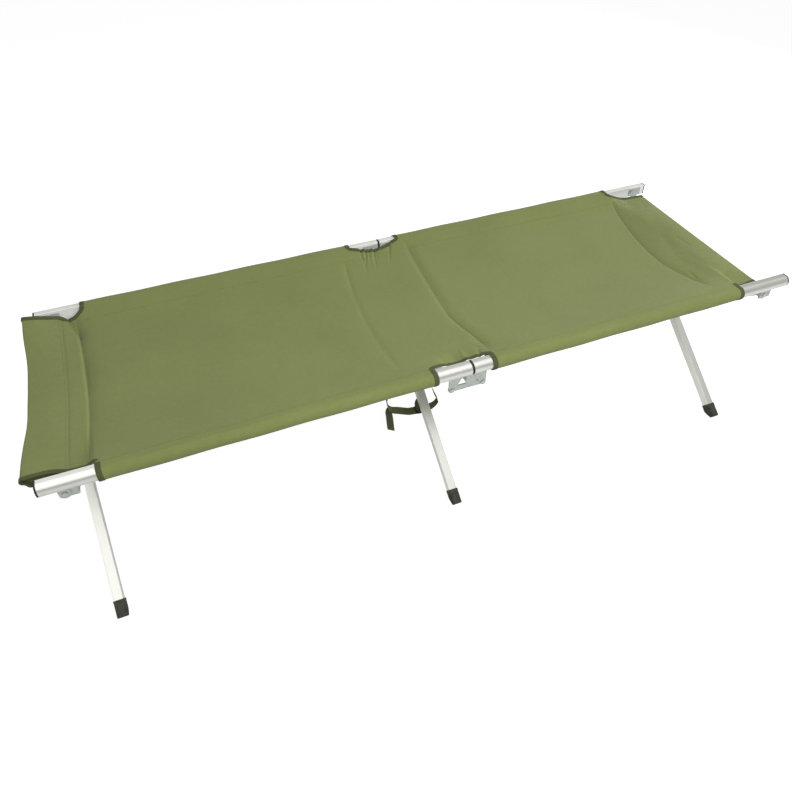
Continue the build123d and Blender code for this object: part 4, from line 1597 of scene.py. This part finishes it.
@dataclass
class TieStrap:
    """Webbing loop under the middle of the bed, with its slide buckle and a free tail."""

    cover: CanvasCover
    width: float = 0.025
    thick: float = 0.0018
    span_points: int = 9
    buckle_x: float = 0.006
    buckle_half: float = 0.0125
    buckle_past: float = 0.0035
    buckle_lift: float = 0.0012
    buckle_square: float = 0.35
    bar: float = 0.0021
    bar_flat: float = 0.8
    cross_bars: tuple[float, float] = (-0.0035, 0.0035)
    cross_lift: float = 0.0022
    cross_share: float = 0.75
    drifts: tuple[float, float, float] = (0.002, 0.0015, 0.0)
    still_y: float = -0.322
    lean: float = 0.35
    lean_from: float = -0.03
    loop: tuple = (
        (-0.068, 0.4905, -18),
        (-0.072, 0.420, -18),
        (-0.081, 0.281, -16),
        (-0.0900, 0.183, -13),
        (-0.0932, 0.145, -13),
        (-0.0905, 0.1205, -13),
        (-0.0800, 0.1035, -18),
        (-0.056, 0.0985, -25),
        (-0.026, 0.0930, -25),
        (0.006, 0.0890, -25),
        (0.034, 0.0885, -16),
        (0.0500, 0.0935, 0),
        (0.0610, 0.1010, 10),
        (0.0670, 0.1110, 12),
        (0.0655, 0.1200, 12),
        (0.0480, 0.1680, 12),
        (0.0345, 0.2500, 18),
        (0.0300, 0.3600, 22),
        (0.0350, 0.4905, 10),
    )
    tail: tuple = (
        (-0.075, 0.0995, -10),
        (-0.084, 0.1020, 15),
        (-0.0880, 0.0910, 40),
        (-0.0870, 0.0720, 45),
        (-0.0855, 0.0440, 47),
        (-0.0830, 0.0150, 48),
    )
    keeper: tuple = (
        (-0.001, 0.0925, 0),
        (-0.004, 0.108, 0),
        (0.000, 0.1235, 0),
        (0.006, 0.1275, 0),
        (0.012, 0.1210, 0),
        (0.0135, 0.107, 0),
        (0.011, 0.0925, 0),
    )

    @staticmethod
    def smooth_path(points: tuple, count: int) -> np.ndarray:
        """Points on a smooth line through given ones: Catmull-Rom spans between neighbours.

        Args:
            points: Rows of places and turns.
            count: Points on each span.

        Returns:
            The line's rows.
        """
        p = np.array(points)
        p = np.concatenate([2 * p[:1] - p[1:2], p, 2 * p[-1:] - p[-2:-1]])
        t = np.linspace(0, 1, count, endpoint=False)[None, :, None]
        a, b, c, d = (p[k : len(p) - 3 + k, None] for k in range(4))
        bent = (2 * a - 5 * b + 4 * c - d) * t**2
        spans = 0.5 * (2 * b + (c - a) * t + bent + (3 * b - a - 3 * c + d) * t**3)
        return np.concatenate([spans.reshape(-1, p.shape[1]), p[-2:-1]])

    def section(self) -> np.ndarray:
        """The webbing's section: a flat bar with rounded edges, counterclockwise."""
        w, h = self.width / 2, self.thick / 2
        turn = np.linspace(-math.pi / 2, math.pi / 2, 5)
        right = np.stack([w - h + h * np.cos(turn), h * np.sin(turn)], -1)
        return np.concatenate([right, -right])

    def lay(self, surface: Surface, points: tuple, shift: float) -> None:
        """Carries the section along a smooth line, turned about the line.

        The line lies in a plane across Y and leans to +Y left of lean_from. The webbing's flat side
        faces cos(turn) * (tangent x Y) + sin(turn) * Y.

        Args:
            surface: Takes the strap.
            points: (x, z, turn in degrees) places.
            shift: Sideways drift over the strap's length.
        """
        line = self.smooth_path(points, self.span_points)
        drift = shift * np.sin(np.linspace(0, 2 * math.pi, len(line)))
        leant = drift + self.lean * np.maximum(self.lean_from - line[:, 0], 0)
        path = np.stack([line[:, 0], leant, line[:, 1]], -1)
        across = np.array([0.0, 1.0, 0.0])
        turn = np.radians(line[:, 2:])
        out = unit(np.cross(unit(np.gradient(path, axis=0)), across))
        surface.sweep(path, np.cos(turn) * out + np.sin(turn) * across, self.section())

    def buckle(self) -> Surface:
        """Slide buckle: a round bar carried round a rounded rectangle, with a bar across its middle.

        Returns:
            The buckle's surface.
        """
        surface = Surface("slide_buckle")
        turn = np.linspace(0, 2 * math.pi, 64, endpoint=False)
        half_y = self.width / 2 + self.buckle_past
        frame_z = next(z for x, z, _ in self.loop if x == self.buckle_x) + self.buckle_lift
        ring_x, ring_y = (squared(wave, self.buckle_square) for wave in (np.cos(turn), np.sin(turn)))
        ring = np.stack([self.buckle_x + self.buckle_half * ring_x, half_y * ring_y, 0 * turn + frame_z], -1)
        round_bar = self.bar * np.stack([np.cos(turn[::4]), np.sin(turn[::4])], -1)
        surface.sweep(ring, upward(len(ring)), round_bar * [1.0, self.bar_flat], closed=True)
        across = np.linspace(-half_y, half_y, 13)
        for place in self.cross_bars:
            level = np.full_like(across, frame_z + self.cross_lift)
            path = np.stack([0 * across + self.buckle_x + place, across, level], -1)
            surface.sweep(path, upward(len(path)), self.cross_share * round_bar)
        return surface

    def build(self) -> None:
        """Makes the strap, its tail and its buckle."""
        surface = Surface("tie_webbing")
        for points, drift in zip((self.loop, self.tail, self.keeper), self.drifts):
            self.lay(surface, points, drift)
        strap = surface.build(self.cover.finishes.webbing, "near_centre", Slot.WEBBING)
        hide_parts("tie_strap")
        buckle = self.buckle().build(self.cover.finishes.plastic, "near_centre", Slot.PLASTIC)
        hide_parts("strap_buckle")
        for piece in (strap, buckle):
            self.cover.crumple(piece, self.still_y)


@dataclass
class FootBoot:
    """Ribbed rubber boot on a leg's end, cut level with the floor and square at its toe."""

    cot: CotFrame
    finishes: Finishes
    side: Side
    place: str
    half: float = 0.0142
    inner: float = 0.0119
    length: float = 0.0384
    toe: float = 0.006
    roundness: float = 0.24
    outline_points: int = 224
    ribs: int = 28
    rib_depth: float = 0.0009
    rib_power: int = 3
    rib_fade: float = 0.08
    rib_end: tuple[float, float] = (0.88, 0.06)
    collar: float = 0.006
    bead: float = 0.0007
    bead_place: tuple[float, float] = (0.03, 0.06)
    stations: tuple[float, float, int] = (0.08, 0.94, 20)
    top_ease: float = 0.0006
    sole_ease: float = 0.0008
    sole_rings: tuple[float, float, float] = (0.8, 0.4, 0.03)

    def build(self) -> bpy.types.Object:
        """Makes the boot: a rounded square carried down the leg until each side meets the floor or the toe.

        The section is half * (|cos|^p, |sin|^p) with shallow grooves between ribs below a plain
        collar. Each line of it runs down the leg's axis to z = 0 or to the toe, whichever is first,
        and rings of the same rule close the sole.

        Returns:
            The boot.
        """
        node = f"foot_boot_{self.side.word}_{self.place}"
        leg_low, leg_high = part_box(f"leg_{self.side.word}_{self.place}")
        slope = self.cot.leg_angle
        down = np.array([0.0, -self.side.value * math.cos(slope), -math.sin(slope)])
        out = np.array([0.0, -self.side.value * math.sin(slope), math.cos(slope)])
        pin = np.array([(leg_low.x + leg_high.x) / 2, self.side.value * self.cot.pin_y, self.cot.pin_z])
        foot = pin + down * self.cot.pin_z / math.sin(slope)
        turn = np.linspace(0, 2 * math.pi, self.outline_points, endpoint=False)
        shape = np.stack([squared(wave, self.roundness) for wave in (np.cos(turn), np.sin(turn))], -1)
        groove = 0.5 - 0.5 * np.cos(self.ribs * turn)
        sides = np.concatenate([[0.0, 0.0, 0.03], np.linspace(*self.stations), [0.985, 1.0]])
        t = np.concatenate([sides, np.ones(len(self.sole_rings))])[:, None]
        ribbed = ramp(t, self.collar / self.length, self.rib_fade) * (1 - ramp(t, *self.rib_end))
        bead_at, bead_half = self.bead_place
        size = self.half - self.rib_depth * ribbed * groove[None] ** self.rib_power
        size = size + self.bead * bell((t - bead_at) / bead_half)
        size[0] = self.inner
        size[1] -= self.top_ease
        size[len(sides) - 1] -= self.sole_ease
        size[len(sides) :] = self.half * np.array(self.sole_rings)[:, None]
        across, up = size * shape[:, 0], size * shape[:, 1]
        stop = np.minimum(-(up * out[2]) / down[2], self.toe)
        along = -self.length + t * (stop + self.length)
        points = foot + along[..., None] * down + up[..., None] * out
        points = points + across[..., None] * np.array([1.0, 0.0, 0.0])
        points[..., 2] = np.maximum(points[..., 2], 0.0)
        uv = np.stack(np.broadcast_arrays(along[:, :1], np.linspace(0, 0.1, len(turn) + 1)[None]), -1)
        surface = Surface(f"boot_{self.side.word}_{self.place}")
        if self.side is Side.FAR:
            points = points[:, ::-1]
        surface.grid(points, uv, wrap=True, caps=True)
        piece = surface.build(self.finishes.rubber, f"{self.side.word}_{self.place}_leg", Slot.BOOT)
        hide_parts(node)
        return piece


@dataclass(frozen=True)
class Studio:
    """Floor, world and lamps: white to the eye, greyer in what lights and mirrors on the cot."""

    floor_half: float = 14.0
    floor_white: float = 0.60
    floor_glow: float = 0.74
    floor_grey: float = 0.40
    floor_mirrored: float = 0.4
    ambient: float = 0.38
    sky_from: tuple = (-0.25, -0.10, 0.96)
    sky_edge: tuple = (0.45, 0.78)
    sky_light: tuple = (0.33, 1.35)
    key_place: tuple = (0.15, -2.0, 2.2)
    key_size: float = 1.6
    key_power: float = 51.0
    side_place: tuple = (4.2, 0.6, 1.4)
    side_size: float = 1.4
    side_power: float = 110.0
    lamp_aim: tuple = (0.0, 0.0, 0.4)

    def floor(self) -> None:
        """Floor that keeps the cot's shadow: white and glowing for the camera, grey for other rays."""
        h = self.floor_half
        mesh = bpy.data.meshes.new("studio_floor")
        mesh.from_pydata([(-h, -h, 0), (h, -h, 0), (h, h, 0), (-h, h, 0)], [], [(0, 1, 2, 3)])
        material, nodes, shader = start_material("studio_white")
        path = nodes.add("ShaderNodeLightPath").outputs
        shown = nodes.math("MAXIMUM", path["Is Camera Ray"], path["Is Transmission Ray"])
        mirrored = nodes.math("MULTIPLY", path["Is Glossy Ray"], self.floor_mirrored)
        shown = nodes.math("MAXIMUM", shown, mirrored)
        tone = nodes.math("MULTIPLY_ADD", shown, self.floor_white - self.floor_grey, self.floor_grey)
        nodes.link(tone, shader.inputs["Base Color"])
        shader.inputs["Roughness"].default_value = 1.0
        shader.inputs["Specular IOR Level"].default_value = 0.0
        glow = nodes.add("ShaderNodeEmission", {"Strength": nodes.math("MULTIPLY", shown, self.floor_glow)})
        both = nodes.add("ShaderNodeAddShader", {0: shader.outputs[0], 1: glow.outputs[0]})
        nodes.link(both.outputs[0], material.node_tree.nodes["Material Output"].inputs["Surface"])
        mesh.materials.append(material)
        floor = bpy.data.objects.new("studio_floor", mesh)
        bpy.context.scene.collection.objects.link(floor)

    def world(self) -> None:
        """World: white for the camera, dim where it lights, and a bright patch overhead in mirrored rays."""
        world = bpy.data.worlds.new("studio_world")
        bpy.context.scene.world = world
        world.use_nodes = True
        nodes = Nodes(world.node_tree)
        path = nodes.add("ShaderNodeLightPath").outputs
        way = nodes.add("ShaderNodeTexCoord").outputs["Generated"]
        facing = nodes.dot(way, self.sky_from)
        sky = nodes.spread(facing, *self.sky_edge, *self.sky_light, interpolation_type="SMOOTHSTEP")
        mirrored = nodes.math("MULTIPLY", path["Is Glossy Ray"], nodes.math("SUBTRACT", sky, self.ambient))
        shown = nodes.math("MAXIMUM", path["Is Camera Ray"], path["Is Transmission Ray"])
        shown = nodes.math("MULTIPLY_ADD", shown, 1.0 - self.ambient, self.ambient)
        back = world.node_tree.nodes["Background"]
        back.inputs["Color"].default_value = (1.0, 1.0, 1.0, 1.0)
        nodes.link(nodes.math("ADD", shown, mirrored), back.inputs["Strength"])

    def lamp(self, name: str, place: tuple, power: float, size: float) -> None:
        """Adds a square lamp that faces the bed.

        Args:
            name: The lamp's name.
            place: Where it stands.
            power: Watts.
            size: Length of its sides.
        """
        light = bpy.data.lights.new(name, "AREA")
        light.energy = power
        light.size = size
        lamp = bpy.data.objects.new(name, light)
        lamp.location = place
        lamp.visible_glossy = False
        lamp.rotation_mode = "QUATERNION"
        lamp.rotation_quaternion = (Vector(self.lamp_aim) - Vector(place)).to_track_quat("-Z", "Y")
        bpy.context.scene.collection.objects.link(lamp)

    def build(self) -> None:
        """Sets the stage."""
        self.floor()
        self.world()
        self.lamp("key_lamp", self.key_place, self.key_power, self.key_size)
        self.lamp("side_lamp", self.side_place, self.side_power, self.side_size)
        bpy.context.scene.view_settings.view_transform = "Standard"


@dataclass(frozen=True)
class PhotoCamera:
    """The photograph's viewpoint, fitted to the rails and feet."""

    azimuth: float = -21.4
    elevation: float = 42.5
    roll: float = -1.0
    distance: float = 2.02
    target: tuple = (-0.0713, 0.0, 0.1746)
    focal_pixels: float = 665.7
    image_pixels: float = 792.0
    sensor: float = 36.0

    def build(self) -> None:
        """Places the camera: it looks back along the view direction, rolled about it."""
        a, e, r = (math.radians(x) for x in (self.azimuth, self.elevation, self.roll))
        back = Vector((math.sin(a) * math.cos(e), -math.cos(a) * math.cos(e), math.sin(e)))
        level = back.cross(Vector((0, 0, -1))).normalized()
        rise = back.cross(level)
        right = level * math.cos(r) + rise * math.sin(r)
        up = rise * math.cos(r) - level * math.sin(r)
        lens = bpy.data.cameras.new("photo_camera")
        lens.sensor_width = self.sensor
        lens.lens = self.focal_pixels / self.image_pixels * self.sensor
        camera = bpy.data.objects.new("photo_camera", lens)
        turn = Matrix((right, up, back)).transposed()
        camera.matrix_world = Matrix.Translation(Vector(self.target) + back * self.distance) @ turn.to_4x4()
        bpy.context.scene.collection.objects.link(camera)
        bpy.context.scene.camera = camera


def main() -> None:
    """Loads the frame, dresses it and sets the studio."""
    logging.basicConfig(level=logging.INFO, format="%(name)s: %(message)s")
    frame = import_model()
    cot = CotFrame.read(frame["joints"])
    finishes = Finishes(cot)
    FrameDressing(finishes).dress(frame["nodes"])
    cover = CanvasCover(cot, finishes)
    for end in End:
        BedHalf(cover, end).build()
        for side in Side:
            RailSleeve(cover, side, end).build()
    EndFlap(
        cover,
        End.LEFT,
        reach=0.134,
        bow=0.008,
        skew=-0.001,
        near=FlapSide(
            half=0.3005,
            step=-0.0155,
            turn=(0.3, 0.4),
            grow=0.0,
            corner=0.008,
            dip=0.010,
            dip_length=0.15,
            relax=0.2,
            lower=0.012,
        ),
        far=FlapSide(
            half=0.2755,
            step=0.0085,
            turn=(0.26, 0.14),
            grow=0.0135,
            corner=0.026,
            dip=0.007,
            dip_length=0.22,
            relax=1.0,
            rise=0.0065,
        ),
        wave=0.0010,
        mouth=0.0040,
    ).build()
    EndFlap(
        cover,
        End.RIGHT,
        reach=0.0990,
        bow=0.0,
        skew=0.027,
        near=FlapSide(
            half=0.3005, step=-0.004, turn=(0.3, 0.7), grow=0.0, corner=0.008, dip=0.013, dip_length=0.30
        ),
        far=FlapSide(
            half=0.289, step=0.0, turn=(0.3, 0.4), grow=-0.014, corner=0.022, dip=0.016, dip_length=0.5
        ),
        wave=0.0,
        taut=(0.5145, 0.5045),
        groove=0.0,
        thread=Thread(radius=0.0002),
    ).build()
    CentrePatch(cover).build()
    TieStrap(cover).build()
    for side in Side:
        for place in ("left", "middle", "right"):
            FootBoot(cot, finishes, side, place).build()
    Studio().build()
    PhotoCamera().build()
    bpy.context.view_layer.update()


if __name__ == "__main__":
    main()
